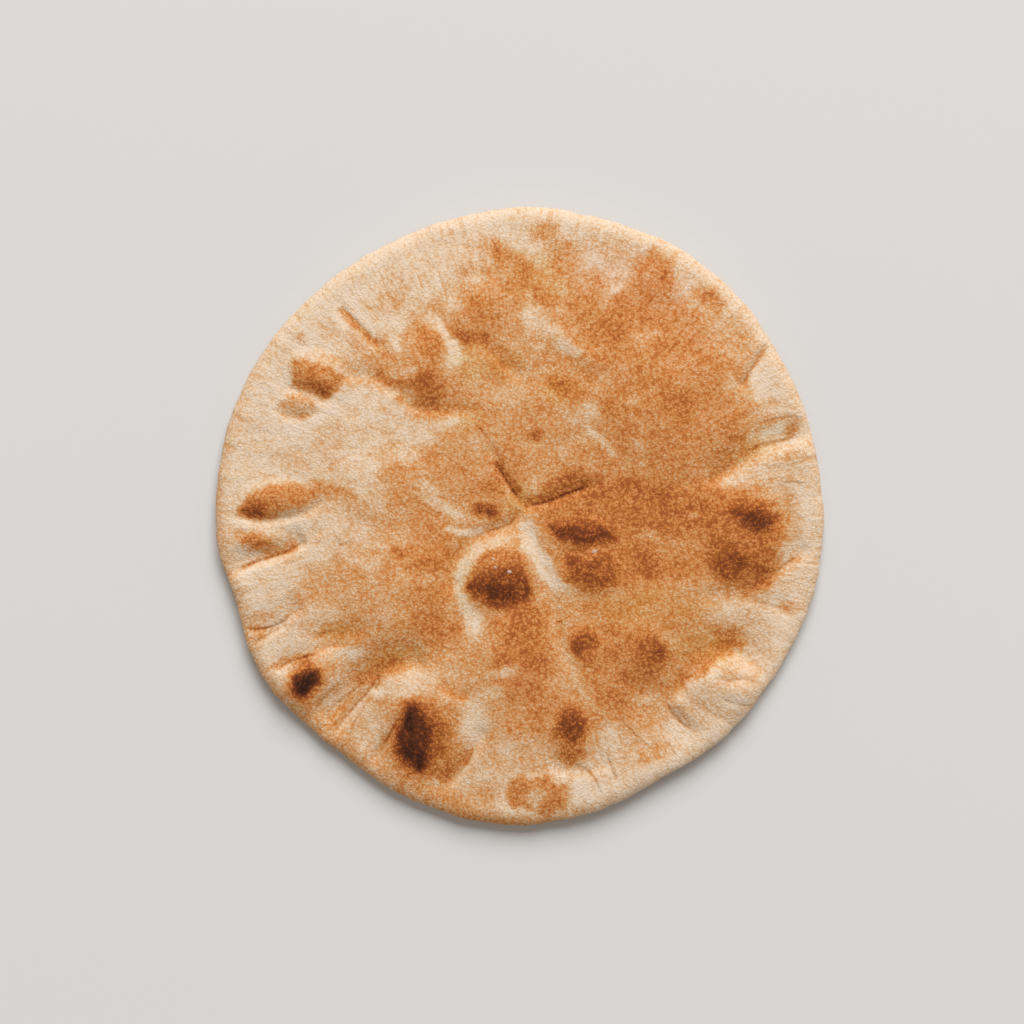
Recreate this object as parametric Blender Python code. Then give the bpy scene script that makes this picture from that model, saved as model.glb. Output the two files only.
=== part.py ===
"""One pita bread: a round, flat, solid loaf with a soft rounded rim, low blisters and folds."""

import math

import bmesh
import bpy
from mathutils import Vector

MM = 0.001

# ---- Outline ----------------------------------------------------------------
RADIUS = 84.8
# Bearings are in degrees, counted from +X towards +Y.
# Each bulge or flat of the outline: bearing, half width in degrees, outward amount in mm.
OUTLINE_SWELLS = (
    (58.0, 26.0, 2.6),
    (92.0, 16.0, 1.3),
    (150.0, 20.0, 0.7),
    (178.0, 14.0, 0.4),
    (197.0, 9.0, -1.9),
    (232.0, 13.0, -1.8),
    (268.0, 9.0, 1.6),
    (300.0, 9.0, -1.7),
    (318.0, 14.0, -1.0),
)

# ---- Rim and body -----------------------------------------------------------
NOSE_DEPTH = 4.6
RIM_HALF_THICKNESS = 2.7
CROWN_RISE = 3.4
CROWN_SLOPE_WIDTH = 36.0
# Where the underside leaves the table, as a share of the outline radius.
BASE_SHARE = 0.72
# How far the rim stands off the table: bearing, half width in degrees, lift in mm.
RIM_LIFT = 0.9
RIM_LIFTS = (
    (20.0, 22.0, 1.2),
    (75.0, 20.0, 0.5),
    (135.0, 24.0, 1.0),
    (200.0, 18.0, 0.8),
    (238.0, 20.0, -0.4),
    (300.0, 24.0, 0.9),
)

# ---- Raised blisters --------------------------------------------------------
# Name: centre x, centre y, half length, half width, turn in degrees, height in mm.
BLISTERS = {
    "middle_dome": (-6.0, -15.0, 14.0, 12.0, 35.0, 2.2),
    "below_middle": (-2.0, -38.0, 15.0, 10.0, 90.0, 0.8),
    "right_of_navel": (18.0, -4.5, 12.0, 5.5, 0.0, 0.9),
    "under_right_of_navel": (20.0, -15.5, 11.0, 7.5, 0.0, 1.0),
    "right_dome": (63.0, -5.0, 16.0, 14.0, 80.0, 1.9),
    "small_right_low": (18.0, -36.0, 7.0, 6.0, 90.0, 0.6),
    "broad_right_low": (35.0, -38.0, 12.0, 10.0, -40.0, 0.8),
    "low_spot": (14.0, -61.0, 11.0, 7.5, 90.0, 0.8),
    "low_ring": (6.5, -76.5, 10.0, 6.5, 0.0, 0.7),
    "pale_dome": (57.0, -45.5, 13.0, 10.0, -20.0, 1.8),
    "low_left_dome": (-27.0, -58.0, 18.0, 14.0, 80.0, 2.3),
    "left_low_dome": (-58.5, -46.0, 12.0, 9.0, 25.0, 1.7),
    "left_dome": (-67.5, 4.0, 12.5, 7.0, 5.0, 1.5),
    "left_strip": (-72.0, -7.0, 10.0, 4.0, 5.0, 0.9),
    "upper_left_dome": (-56.0, 39.5, 11.0, 7.5, -25.0, 1.6),
    "upper_left_lobe": (-61.5, 31.0, 8.0, 4.5, 0.0, 0.8),
    "upper_middle_left": (-26.0, 43.0, 14.0, 9.0, 80.0, 1.0),
    "upper_middle": (-12.0, 58.0, 11.0, 9.0, 60.0, 0.9),
    "upper_right_patch": (39.0, 66.0, 10.0, 8.0, 30.0, 0.8),
    "broad_upper_right": (42.0, 36.0, 33.0, 29.0, 40.0, 1.6),
    "broad_left": (-34.0, -20.0, 20.0, 17.0, 0.0, 1.1),
    "middle_left": (-36.0, 9.0, 18.0, 12.0, 0.0, 0.7),
    "above_navel": (6.0, 30.0, 16.0, 11.0, 0.0, 0.7),
}

# ---- Folds and valleys ------------------------------------------------------
# Name: width in mm, depth in mm, then the points the fold runs through.
FOLDS = {
    "navel_right": (2.6, 1.2, (0.0, 3.0), (9.0, 5.3), (15.2, 7.2), (22.0, 9.4)),
    "navel_up": (2.4, 0.9, (0.5, 3.5), (-4.2, 10.6), (-6.0, 15.0), (-11.0, 26.0)),
    "round_middle_dome": (
        2.6, 0.9, (0.0, 1.5), (-8.9, -3.0), (-15.5, -6.4), (-20.5, -15.0), (-16.0, -27.0),
    ),
    "pale_band": (
        3.4, 1.1, (1.4, -2.0), (6.5, -12.0), (10.0, -22.0), (11.0, -32.0), (20.0, -49.0), (28.0, -60.0),
    ),
    "low_left_valley": (3.2, 1.2, (-22.0, -42.0), (-31.0, -40.5), (-43.0, -43.0), (-54.0, -57.0)),
    "left_low_crease": (2.3, 1.0, (-68.0, -42.0), (-56.5, -37.0), (-45.0, -34.5)),
    "left_crease": (2.4, 1.1, (-81.0, -15.5), (-71.7, -11.8), (-61.7, -9.0), (-55.0, -4.0)),
    "left_lower_crease": (2.3, 0.8, (-77.5, -31.0), (-68.4, -30.0), (-61.0, -25.5)),
    "right_fold": (3.4, 1.4, (81.0, 26.5), (70.0, 21.0), (60.0, 15.5), (50.0, 10.5)),
    "right_rim_crease": (2.3, 0.9, (70.0, 48.5), (64.5, 40.7), (60.5, 35.5)),
    "pale_dome_edge": (
        2.6, 1.0, (50.0, -60.0), (42.0, -53.5), (44.0, -45.5), (51.0, -39.5), (59.0, -36.5), (68.0, -41.0),
    ),
    "right_low_crease": (2.2, 0.7, (70.0, -16.0), (77.5, -11.5)),
    "upper_left_edge": (
        2.4, 0.8, (-65.0, 36.5), (-54.0, 32.5), (-47.5, 37.5), (-36.8, 37.5), (-28.0, 31.0), (-17.0, 28.5),
    ),
    "low_dome_left": (2.2, 0.7, (-33.0, -54.0), (-36.5, -60.0), (-41.0, -69.0)),
    "low_dome_right": (2.2, 0.8, (-9.5, -57.0), (-12.5, -65.0), (-20.5, -76.5)),
}

# ---- Mesh fineness ----------------------------------------------------------
TOP_CELLS = 54
UNDER_CELLS = 27
# Angles round the rim's nose, from its top to its underside, in degrees.
NOSE_ANGLES = (62.0, 34.0, 6.0, -24.0, -58.0)

# ---- Crust ------------------------------------------------------------------
CRUST_COLOUR = (0.604, 0.319, 0.141, 1.0)
CRUST_ROUGHNESS = 0.82


def smooth_step(t):
    """Ease from 0 to 1 as t goes from 0 to 1."""
    t = min(max(t, 0.0), 1.0)
    return t * t * (3.0 - 2.0 * t)


def round_swells(base, swells, bearing):
    """A base value plus smooth swells round the compass, at a bearing in degrees."""
    total = base
    for middle, half_width, amount in swells:
        away = (bearing - middle + 180.0) % 360.0 - 180.0
        total += amount * math.exp(-((away / half_width) ** 2))
    return total


def outline_radius(bearing):
    """Distance from the middle to the rim's outermost edge."""
    return round_swells(RADIUS, OUTLINE_SWELLS, bearing)


def rim_lift(bearing):
    """Height of the rim's underside above the table."""
    return round_swells(RIM_LIFT, RIM_LIFTS, bearing)


def distance_to_path(point, path):
    """Shortest distance from a point to a bent line."""
    nearest = math.inf
    for start, end in zip(path, path[1:]):
        a = Vector(start)
        along = Vector(end) - a
        share = min(max((point - a).dot(along) / along.length_squared, 0.0), 1.0)
        nearest = min(nearest, (point - a - along * share).length)
    return nearest


def relief(x, y):
    """Height of blisters less the depth of folds at a place on the upper crust."""
    height = 0.0
    for centre_x, centre_y, half_length, half_width, turn, amount in BLISTERS.values():
        angle = math.radians(turn)
        along = (x - centre_x) * math.cos(angle) + (y - centre_y) * math.sin(angle)
        across = (y - centre_y) * math.cos(angle) - (x - centre_x) * math.sin(angle)
        spread = (along / half_length) ** 2 + (across / half_width) ** 2
        if spread < 1.0:
            height += amount * (1.0 - spread) ** 1.5
    point = Vector((x, y))
    for width, depth, *path in FOLDS.values():
        away = distance_to_path(point, path)
        height -= depth * math.exp(-((away / width) ** 2))
    return height


def bearing_of(x, y):
    """Bearing of a place, in degrees from +X towards +Y."""
    return math.degrees(math.atan2(y, x))


def under_height(x, y):
    """Height of the underside: flat in the middle, leaving the table towards the rim."""
    bearing = bearing_of(x, y)
    outer = outline_radius(bearing) - NOSE_DEPTH
    share = math.hypot(x, y) / outer
    return rim_lift(bearing) * smooth_step((share - BASE_SHARE) / (1.0 - BASE_SHARE))


def crown_height(x, y):
    """Height of the smooth upper crust, without blisters or folds."""
    bearing = bearing_of(x, y)
    outer = outline_radius(bearing) - NOSE_DEPTH
    inward = outer - math.hypot(x, y)
    rise = CROWN_RISE * smooth_step(inward / CROWN_SLOPE_WIDTH)
    edge = rim_lift(bearing) * smooth_step(1.0 - inward / CROWN_SLOPE_WIDTH)
    return edge + 2.0 * RIM_HALF_THICKNESS + rise


def square_to_disc(u, v):
    """A place on a square of half side 1 carried to a disc of radius 1."""
    return u * math.sqrt(1.0 - 0.5 * v * v), v * math.sqrt(1.0 - 0.5 * u * u)


def lay_disc(bm, cells):
    """A gridded disc that ends where the rim's nose begins; gives its vertices and edge loop."""
    made = bmesh.ops.create_grid(bm, x_segments=cells, y_segments=cells, size=1.0)
    verts = made["verts"]
    for vert in verts:
        x, y = square_to_disc(vert.co.x, vert.co.y)
        outer = outline_radius(bearing_of(x, y)) - NOSE_DEPTH
        vert.co = Vector((x * outer, y * outer, 0.0))
    edges = {edge for vert in verts for edge in vert.link_edges}
    return verts, [edge for edge in edges if edge.is_boundary]


def by_place(edges):
    """Edges in a fixed order, by bearing, so that every run gives the same mesh."""

    def bearing(edge):
        middle = edge.verts[0].co + edge.verts[1].co
        return bearing_of(middle.x, middle.y)

    return sorted(edges, key=bearing)


def nose_place(bearing, nose_angle):
    """A place on the rim's rounded nose."""
    angle = math.radians(nose_angle)
    reach = outline_radius(bearing) - NOSE_DEPTH * (1.0 - math.cos(angle))
    x = reach * math.cos(math.radians(bearing))
    y = reach * math.sin(math.radians(bearing))
    z = rim_lift(bearing) + RIM_HALF_THICKNESS * (1.0 + math.sin(angle))
    z += relief(x, y) * max(math.sin(angle), 0.0)
    return Vector((x, y, z))


def roll_nose(bm, loop):
    """Carry the upper disc's edge round the nose, ring by ring; gives the last ring's edges."""
    for nose_angle in NOSE_ANGLES:
        made = bmesh.ops.extrude_edge_only(bm, edges=by_place(loop))
        verts = [item for item in made["geom"] if isinstance(item, bmesh.types.BMVert)]
        for vert in verts:
            vert.co = nose_place(bearing_of(vert.co.x, vert.co.y), nose_angle)
        ring = set(verts)
        edges = [item for item in made["geom"] if isinstance(item, bmesh.types.BMEdge)]
        loop = [edge for edge in edges if edge.verts[0] in ring and edge.verts[1] in ring]
    return loop


def centre_on_base(bm):
    """Put the middle of the bread's box at x = y = 0 and its lowest point at z = 0."""
    low = Vector([min(vert.co[axis] for vert in bm.verts) for axis in range(3)])
    high = Vector([max(vert.co[axis] for vert in bm.verts) for axis in range(3)])
    middle = (low + high) / 2.0
    bmesh.ops.translate(bm, vec=Vector((-middle.x, -middle.y, -low.z)), verts=bm.verts)


def build_bread():
    """The whole loaf as one closed solid."""
    bm = bmesh.new()
    top, top_loop = lay_disc(bm, TOP_CELLS)
    nose_loop = roll_nose(bm, top_loop)
    for vert in top:
        x, y = vert.co.x, vert.co.y
        vert.co.z = crown_height(x, y) + relief(x, y)
    under, under_loop = lay_disc(bm, UNDER_CELLS)
    for vert in under:
        vert.co.z = under_height(vert.co.x, vert.co.y)
    bmesh.ops.bridge_loops(bm, edges=by_place(nose_loop) + by_place(under_loop))
    bmesh.ops.triangulate(bm, faces=bm.faces, quad_method="SHORT_EDGE")
    bmesh.ops.recalc_face_normals(bm, faces=bm.faces)
    centre_on_base(bm)
    bmesh.ops.scale(bm, vec=Vector((MM, MM, MM)), verts=bm.verts)
    mesh = bpy.data.meshes.new("pita_bread")
    bm.to_mesh(mesh)
    bm.free()
    mesh.shade_smooth()
    return bpy.data.objects.new("pita_bread", mesh)


def crust_material():
    """Matt baked crust in the bread's average colour."""
    material = bpy.data.materials.new("baked_crust")
    material.use_nodes = True
    shader = material.node_tree.nodes["Principled BSDF"]
    shader.inputs["Base Color"].default_value = CRUST_COLOUR
    shader.inputs["Roughness"].default_value = CRUST_ROUGHNESS
    return material


def clear_objects():
    """Start from an empty scene."""
    for item in list(bpy.data.objects):
        bpy.data.objects.remove(item, do_unlink=True)


def main():
    clear_objects()
    collection = bpy.data.collections.new("pita_bread")
    bpy.context.scene.collection.children.link(collection)
    bread = build_bread()
    bread.data.materials.append(crust_material())
    collection.objects.link(bread)


main()
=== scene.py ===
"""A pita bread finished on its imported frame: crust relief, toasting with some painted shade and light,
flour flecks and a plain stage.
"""

import math
from typing import NamedTuple

import bmesh
import bpy
import numpy as np
from bpy.props import FloatProperty, FloatVectorProperty, IntProperty, PointerProperty
from mathutils import Matrix, Vector


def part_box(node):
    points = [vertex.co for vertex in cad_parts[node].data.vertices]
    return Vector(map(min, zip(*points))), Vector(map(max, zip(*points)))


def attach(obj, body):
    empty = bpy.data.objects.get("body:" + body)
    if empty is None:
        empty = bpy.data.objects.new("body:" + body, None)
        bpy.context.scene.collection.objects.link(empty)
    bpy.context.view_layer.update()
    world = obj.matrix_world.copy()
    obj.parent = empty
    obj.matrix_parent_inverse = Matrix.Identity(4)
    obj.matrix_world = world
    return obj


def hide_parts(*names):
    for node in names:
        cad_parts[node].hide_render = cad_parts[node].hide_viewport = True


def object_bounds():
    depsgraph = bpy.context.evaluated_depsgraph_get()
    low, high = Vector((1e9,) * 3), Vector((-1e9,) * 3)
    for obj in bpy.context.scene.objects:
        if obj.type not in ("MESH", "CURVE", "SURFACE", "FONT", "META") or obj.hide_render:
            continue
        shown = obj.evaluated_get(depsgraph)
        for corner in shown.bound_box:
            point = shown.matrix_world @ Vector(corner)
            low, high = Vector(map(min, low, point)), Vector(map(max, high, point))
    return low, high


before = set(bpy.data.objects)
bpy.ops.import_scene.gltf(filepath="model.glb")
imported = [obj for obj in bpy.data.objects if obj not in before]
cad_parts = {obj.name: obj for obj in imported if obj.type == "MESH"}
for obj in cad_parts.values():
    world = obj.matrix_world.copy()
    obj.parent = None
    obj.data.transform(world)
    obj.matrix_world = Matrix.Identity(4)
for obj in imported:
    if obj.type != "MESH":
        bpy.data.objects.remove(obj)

bl_info = {
    "name": "Pita Bread",
    "version": (1, 0, 0),
    "blender": (4, 5, 0),
    "location": "3D View > Sidebar > Pita",
    "description": "Builds the crust of a pita bread, its flour flecks and a plain stage",
    "category": "Add Mesh",
}

NODE = "pita_bread"
SLOT = "baked_crust"
BODY = "root"
CAD_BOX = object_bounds()
MM = 0.001

# ---- Outline and body, in mm and degrees
# How far the two sides stand out of the outline's base circle, on average.
SIDE_SWELL = 0.2
# Each bulge or flat of the outline: bearing from +X towards +Y, half width, outward amount.
OUTLINE_SWELLS = (
    (58.0, 26.0, 2.6),
    (92.0, 16.0, 1.3),
    (150.0, 20.0, 0.7),
    (178.0, 14.0, 0.4),
    (197.0, 9.0, -1.9),
    (232.0, 13.0, -1.8),
    (268.0, 9.0, 1.6),
    (300.0, 9.0, -1.7),
    (318.0, 14.0, -1.0),
)
# How far the rim stands off the table: bearing, half width, lift.
RIM_LIFTS = (
    (20.0, 22.0, 1.2),
    (75.0, 20.0, 0.5),
    (135.0, 24.0, 1.0),
    (200.0, 18.0, 0.8),
    (238.0, 20.0, -0.4),
    (300.0, 24.0, 0.9),
)
# Angles round the rim's nose, from its top to its underside.
NOSE_ANGLES = (76.0, 60.0, 44.0, 28.0, 12.0, -4.0, -20.0, -38.0, -60.0)
# The nose angle at which the upper crust's map ends and the underside's begins.
MAP_SEAM_ANGLE = -12.0

# ---- Blisters: centre x, centre y, half length, half width, turn, height
BLISTERS = {
    "middle_dome": (-6.0, -15.0, 14.0, 12.0, 35.0, 2.2),
    "below_middle": (-2.0, -38.0, 15.0, 10.0, 90.0, 0.8),
    "right_of_navel": (18.0, -4.5, 12.0, 5.5, 0.0, 0.9),
    "under_right_of_navel": (20.0, -15.5, 11.0, 7.5, 0.0, 1.0),
    "right_dome": (63.0, -5.0, 16.0, 14.0, 80.0, 1.9),
    "pale_dome_bump": (61.0, -48.3, 5.5, 3.4, 5.0, 0.5),
    "small_right_low": (18.0, -36.0, 7.0, 6.0, 90.0, 0.6),
    "broad_right_low": (35.0, -38.0, 12.0, 10.0, -40.0, 0.8),
    "low_spot": (14.0, -61.0, 11.0, 7.5, 90.0, 0.8),
    "low_ring": (6.5, -76.5, 10.0, 6.5, 0.0, 0.7),
    "pale_dome": (57.0, -46.5, 13.0, 10.0, -20.0, 1.8),
    "low_left_dome": (-27.0, -58.0, 18.0, 14.0, 80.0, 2.3),
    "left_low_dome": (-58.5, -46.0, 12.0, 9.0, 25.0, 1.7),
    "left_dome": (-67.5, 5.3, 12.0, 6.2, 3.0, 1.2),
    "left_strip": (-72.0, -7.0, 10.0, 4.0, 5.0, 0.9),
    "upper_left_dome": (-56.0, 39.5, 11.0, 7.5, -25.0, 1.6),
    "upper_left_lobe": (-61.5, 31.0, 8.0, 4.5, 0.0, 0.8),
    "upper_middle_left": (-26.0, 43.0, 14.0, 9.0, 80.0, 1.0),
    "upper_middle": (-12.0, 58.0, 11.0, 9.0, 60.0, 0.9),
    "upper_right_patch": (39.0, 66.0, 10.0, 8.0, 30.0, 0.8),
    "broad_upper_right": (42.0, 36.0, 33.0, 29.0, 40.0, 1.6),
    "broad_left": (-34.0, -20.0, 20.0, 17.0, 0.0, 1.1),
    "middle_left": (-36.0, 9.0, 18.0, 12.0, 0.0, 0.7),
    "above_navel": (6.0, 30.0, 16.0, 11.0, 0.0, 0.7),
}

# ---- Folds: width on the left of the path, width on its right, depth, path
FOLDS = {
    "right_fold": (
        5.5, 2.6, 1.6,
        (49, 9.5), (56, 12.3), (62, 15.8), (68, 19.8), (74, 21.3), (79, 23), (85, 24.5),
    ),
    "right_low_crease": (4.0, 1.6, 0.9, (66, -19), (71.7, -15), (77, -11), (81, -9)),
    "right_low_dip": (3.0, 2.5, 0.5, (50, -22), (58, -21.5), (66, -22.5), (77, -26.5)),
    "pale_dome_edge": (
        9.0, 2.6, 1.7,
        (51, -61), (44.5, -57), (41, -52.5), (43.5, -47.5), (50, -41.3), (58.5, -37.3), (64, -39.5),
        (69, -44),
    ),
    "low_left_valley": (
        6.0, 3.0, 1.8,
        (-55, -58), (-48, -50.5), (-43, -44.5), (-37.5, -41.5), (-31, -40), (-26, -39.5),
    ),
    "low_left_groove": (2.0, 1.2, 0.7, (-38.5, -43), (-42, -48), (-47, -54), (-52, -60)),
    "left_low_crease": (3.0, 1.0, 0.8, (-70, -43), (-64, -40.5), (-59, -38.3), (-55, -36.5), (-48, -35)),
    "left_low_groove": (1.0, 0.8, 0.4, (-66, -43.5), (-61, -41), (-57, -39)),
    "left_crease": (
        5.0, 1.3, 1.9, (-82, -17), (-77, -13.5), (-72, -11.7), (-67, -10.3), (-62, -8), (-59, -6.5),
    ),
    "left_lower_crease": (5.0, 1.6, 1.0, (-80, -31), (-74, -31.2), (-68, -29.8), (-64, -27), (-60, -24.3)),
    "left_lower_groove": (1.6, 1.0, 0.5, (-76, -36), (-70, -32.5), (-65, -30)),
    "left_middle_crease": (3.5, 1.8, 0.5, (-59, -33.5), (-53, -32.3), (-48, -31.6), (-42, -32)),
    "left_dome_foot": (1.8, 1.2, 0.7, (-80, 0.5), (-72, -1.2), (-64, 0.0), (-58, 2.0), (-54, 5.0)),
    "navel_right": (2.2, 1.6, 0.9, (0.5, 3.2), (4, 3.7), (8, 4.6), (12, 6.3), (17, 8), (22, 9.5)),
    "navel_up": (1.8, 1.8, 0.6, (1.5, 3.5), (-1, 6.5), (-4, 11), (-6.5, 15.5), (-9, 21)),
    "navel_left": (2.0, 1.8, 0.8, (1, 2.5), (-3, -1.8), (-9, -3.9), (-14.5, -6.2)),
    "middle_dome_foot": (3.0, 2.2, 0.7, (-13, -6.4), (-17, -10.5), (-19, -15.5), (-18.5, -21)),
    "pale_band": (
        2.2, 2.8, 0.6,
        (1, 0), (3.5, -7), (6.5, -13.5), (9, -21), (10.2, -29), (12, -36), (15, -42),
    ),
    "upper_left_edge": (
        2.8, 1.4, 0.6,
        (-66, 36.8), (-60, 34.8), (-54, 32.8), (-51, 35), (-48.6, 38.8), (-43.5, 39.2), (-39.5, 38.4),
        (-36.5, 35.8), (-32.5, 34), (-29, 30.6), (-22, 29.6), (-15, 29.4), (-12, 27),
    ),
    "upper_left_lobe_foot": (3.0, 1.2, 0.6, (-68, 31), (-65, 28.8), (-60, 28.3), (-56, 30)),
    "upper_left_groove": (1.2, 1.4, 0.45, (-50.5, 59), (-46, 54.5), (-42, 50.5), (-38, 47)),
    "upper_middle_dip": (3.0, 2.0, 0.6, (-10, 48), (-5, 43.5), (-2, 41), (0, 38)),
    "upper_middle_ridge": (2.5, 2.5, -0.5, (9, 53), (14, 48), (20, 44), (25, 41)),
    "right_rim_crease": (1.2, 2.5, 0.8, (60.5, 35.5), (63, 38.5), (65, 42), (67.5, 46), (70, 48.5)),
    "low_dome_left": (1.6, 1.4, 0.8, (-33.2, -54), (-36, -60), (-38.5, -64), (-41.5, -69)),
    "low_dome_right": (1.4, 1.8, 0.8, (-10, -58), (-11, -62), (-13.5, -66), (-17, -71), (-20.5, -76)),
    "low_right_valley": (5.0, 2.0, 0.8, (8, -68.5), (14, -70), (20, -70.2), (25, -67.5)),
    "pale_dome_line": (1.3, 1.0, 0.22, (53, -44.2), (58, -45.3), (63, -45), (67, -46.5)),
    "pale_dome_loop": (1.0, 1.0, 0.1, (55.5, -49.5), (59, -51.6), (64, -52.3), (68, -51.5)),
    "low_left_wrinkle": (1.2, 1.0, 0.35, (-42.5, -47), (-46.5, -52.5), (-50, -57.5), (-53, -62)),
    "low_left_wrinkle_high": (1.0, 1.0, 0.35, (-39.6, -43.5), (-39.4, -46), (-41, -48.5)),
    "small_low_crease": (1.8, 1.4, 0.35, (-22, -46), (-18.5, -48.8), (-13.5, -49.6)),
}

# ---- Thin dark crease lines, partly browning and partly painted shade in the creases: strength, path
CREASE_LINES = {
    "navel_up": (0.35, (1.5, 3.5), (-1, 6.5), (-4, 11), (-6.5, 15.5)),
    "above_navel": (0.25, (-13, 26.5), (-10.5, 24.2), (-8.5, 21.8)),
    "right_fold_low": (0.3, (64, 19), (68, 20.6), (74, 21.8), (79, 23.6)),
    "right_fold_inner": (0.25, (50, 10.3), (54, 12), (57, 13.6), (60, 15.5)),
    "right_fold_high": (0.25, (66, 26), (71, 27.5), (76, 28.2), (79.5, 27.5)),
    "right_rim": (0.18, (60.5, 35.5), (63, 38.5), (65, 42), (67.5, 46), (70, 48)),
    "right_small": (0.35, (72.5, 9.6), (76, 9.9), (80.5, 9.4)),
    "right_low": (0.35, (71, -15.5), (74, -13), (77.5, -11)),
    "right_lower": (0.3, (64, -23), (70, -24.3), (77, -26.5)),
    "pale_dome_foot": (0.4, (40.5, -50.5), (42.5, -54.5), (45.5, -57.5), (50, -60.3)),
    "left": (0.5, (-80, -15.2), (-75, -12.8), (-70, -11.2), (-64, -9), (-59, -5.5)),
    "left_small": (0.3, (-53, -4.6), (-50.8, -5.8), (-49.6, -7.8), (-47.6, -6.8), (-45.4, -6.9)),
    "left_lower": (0.5, (-78, -31), (-72, -31), (-67, -29.5), (-62.5, -26)),
    "left_lower_second": (0.35, (-75, -35.3), (-70, -32.5), (-66, -30.2)),
    "left_middle": (0.22, (-58, -33), (-52, -31.6), (-47, -32.6)),
    "left_low": (0.4, (-68, -42), (-63, -39.8), (-59, -38.6), (-55.5, -37.3)),
    "left_low_second": (0.3, (-64, -42.8), (-60.5, -40.6), (-57, -39)),
    "low_left_groove": (0.45, (-39, -43.5), (-41.5, -47.5), (-45.5, -52), (-50, -57.5)),
    "low_dome_left": (0.5, (-33.5, -55), (-36, -60), (-38.5, -64.5)),
    "low_dome_right": (0.15, (-12, -64), (-14.5, -68), (-19.5, -75)),
    "bottom_right_a": (0.3, (24, -64), (25.5, -69), (27.5, -74)),
    "bottom_right_b": (0.25, (41, -62), (44, -67)),
    "bottom_right_c": (0.32, (13, -68), (18.4, -70), (21.4, -73.6), (23.2, -78)),
    "bottom_right_d": (0.25, (27, -55), (32.2, -60.4), (38, -65.5)),
    "low_left_fan_a": (0.25, (-42.5, -45), (-49.2, -50.4), (-56, -56)),
    "low_left_fan_b": (0.2, (-50, -46), (-53.5, -49), (-57.5, -53.5)),
    "low_left_fan_c": (0.2, (-41.5, -50.5), (-45.5, -56), (-48, -62)),
}
# Folds that also carry a thin line along their path, and its strength.
FOLD_LINES = {
    "navel_right": 0.4,
    "navel_left": 0.35,
    "pale_dome_line": 0.25,
    "pale_dome_loop": 0.25,
    "low_left_wrinkle": 0.25,
    "low_left_wrinkle_high": 0.4,
}
# How far from a crease line its darkening is worked out.
CREASE_REACH = 1.8
# How quickly a streak comes in at its ends, as the inverse share of its length.
STREAK_FADE = 5.0


class Blob(NamedTuple):
    """A soft oval of crust that is baked to one level."""

    level: float
    soft: float
    x: float
    y: float
    half_length: float
    half_width: float
    turn: float = 0.0

    def cover(self, x, y):
        away = oval_distance(x, y, self[2:])
        return 1.0 - ease((away - 1.0 + self.soft) / self.soft)


class Streak(NamedTuple):
    """A soft band of crust along a path, baked to one level."""

    level: float
    soft: float
    half_width: float
    path: tuple

    def cover(self, x, y):
        away, along = from_path(x, y, self.path, 2.0 * self.half_width)
        edge = (np.abs(away) / self.half_width - 1.0 + self.soft) / self.soft
        return fade_ends(along, STREAK_FADE) * (1.0 - ease(edge))


class Patch(NamedTuple):
    """A cornered area of crust baked to one level, soft over a width in mm along its edge."""

    level: float
    soft: float
    corners: tuple

    def cover(self, x, y):
        return ease(0.5 - from_corners(x, y, self.corners) / self.soft)


# ---- Toasting, with some painted shade and light: 0 is raw cream dough, 1 is char; strokes that paint shade or light are marked
INNER_TOAST = 0.42
RIM_TOAST = 0.1
# Where the crust turns pale towards the rim, in mm from the outline's base circle.
PALE_RIM = (-24.0, -4.8)
# How much the fine spokes change the baking, and the baking over which that ends.
SPOKE_TOAST = 0.07
SPOKES_BAKED_OUT = (0.5, 0.8)
# The rim's outer edge: where it begins and is full, its share, its baking, and where it is browner: bearing,
# half width, more baking. From 185 to 268 degrees, on the left and lower rim, the extra darkening is partly
# browning and partly painted shade of the rim turned away from the light.
RIM_EDGE = (-5.0, -1.0)
RIM_EDGE_SHARE = 0.85
RIM_EDGE_TOAST = 0.1
RIM_EDGE_TOAST_AND_SHADE = (
    (10.0, 40.0, 0.06),
    (185.0, 34.0, 0.2),
    (236.0, 28.0, 0.25),
    (268.0, 14.0, 0.34),
)
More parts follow.
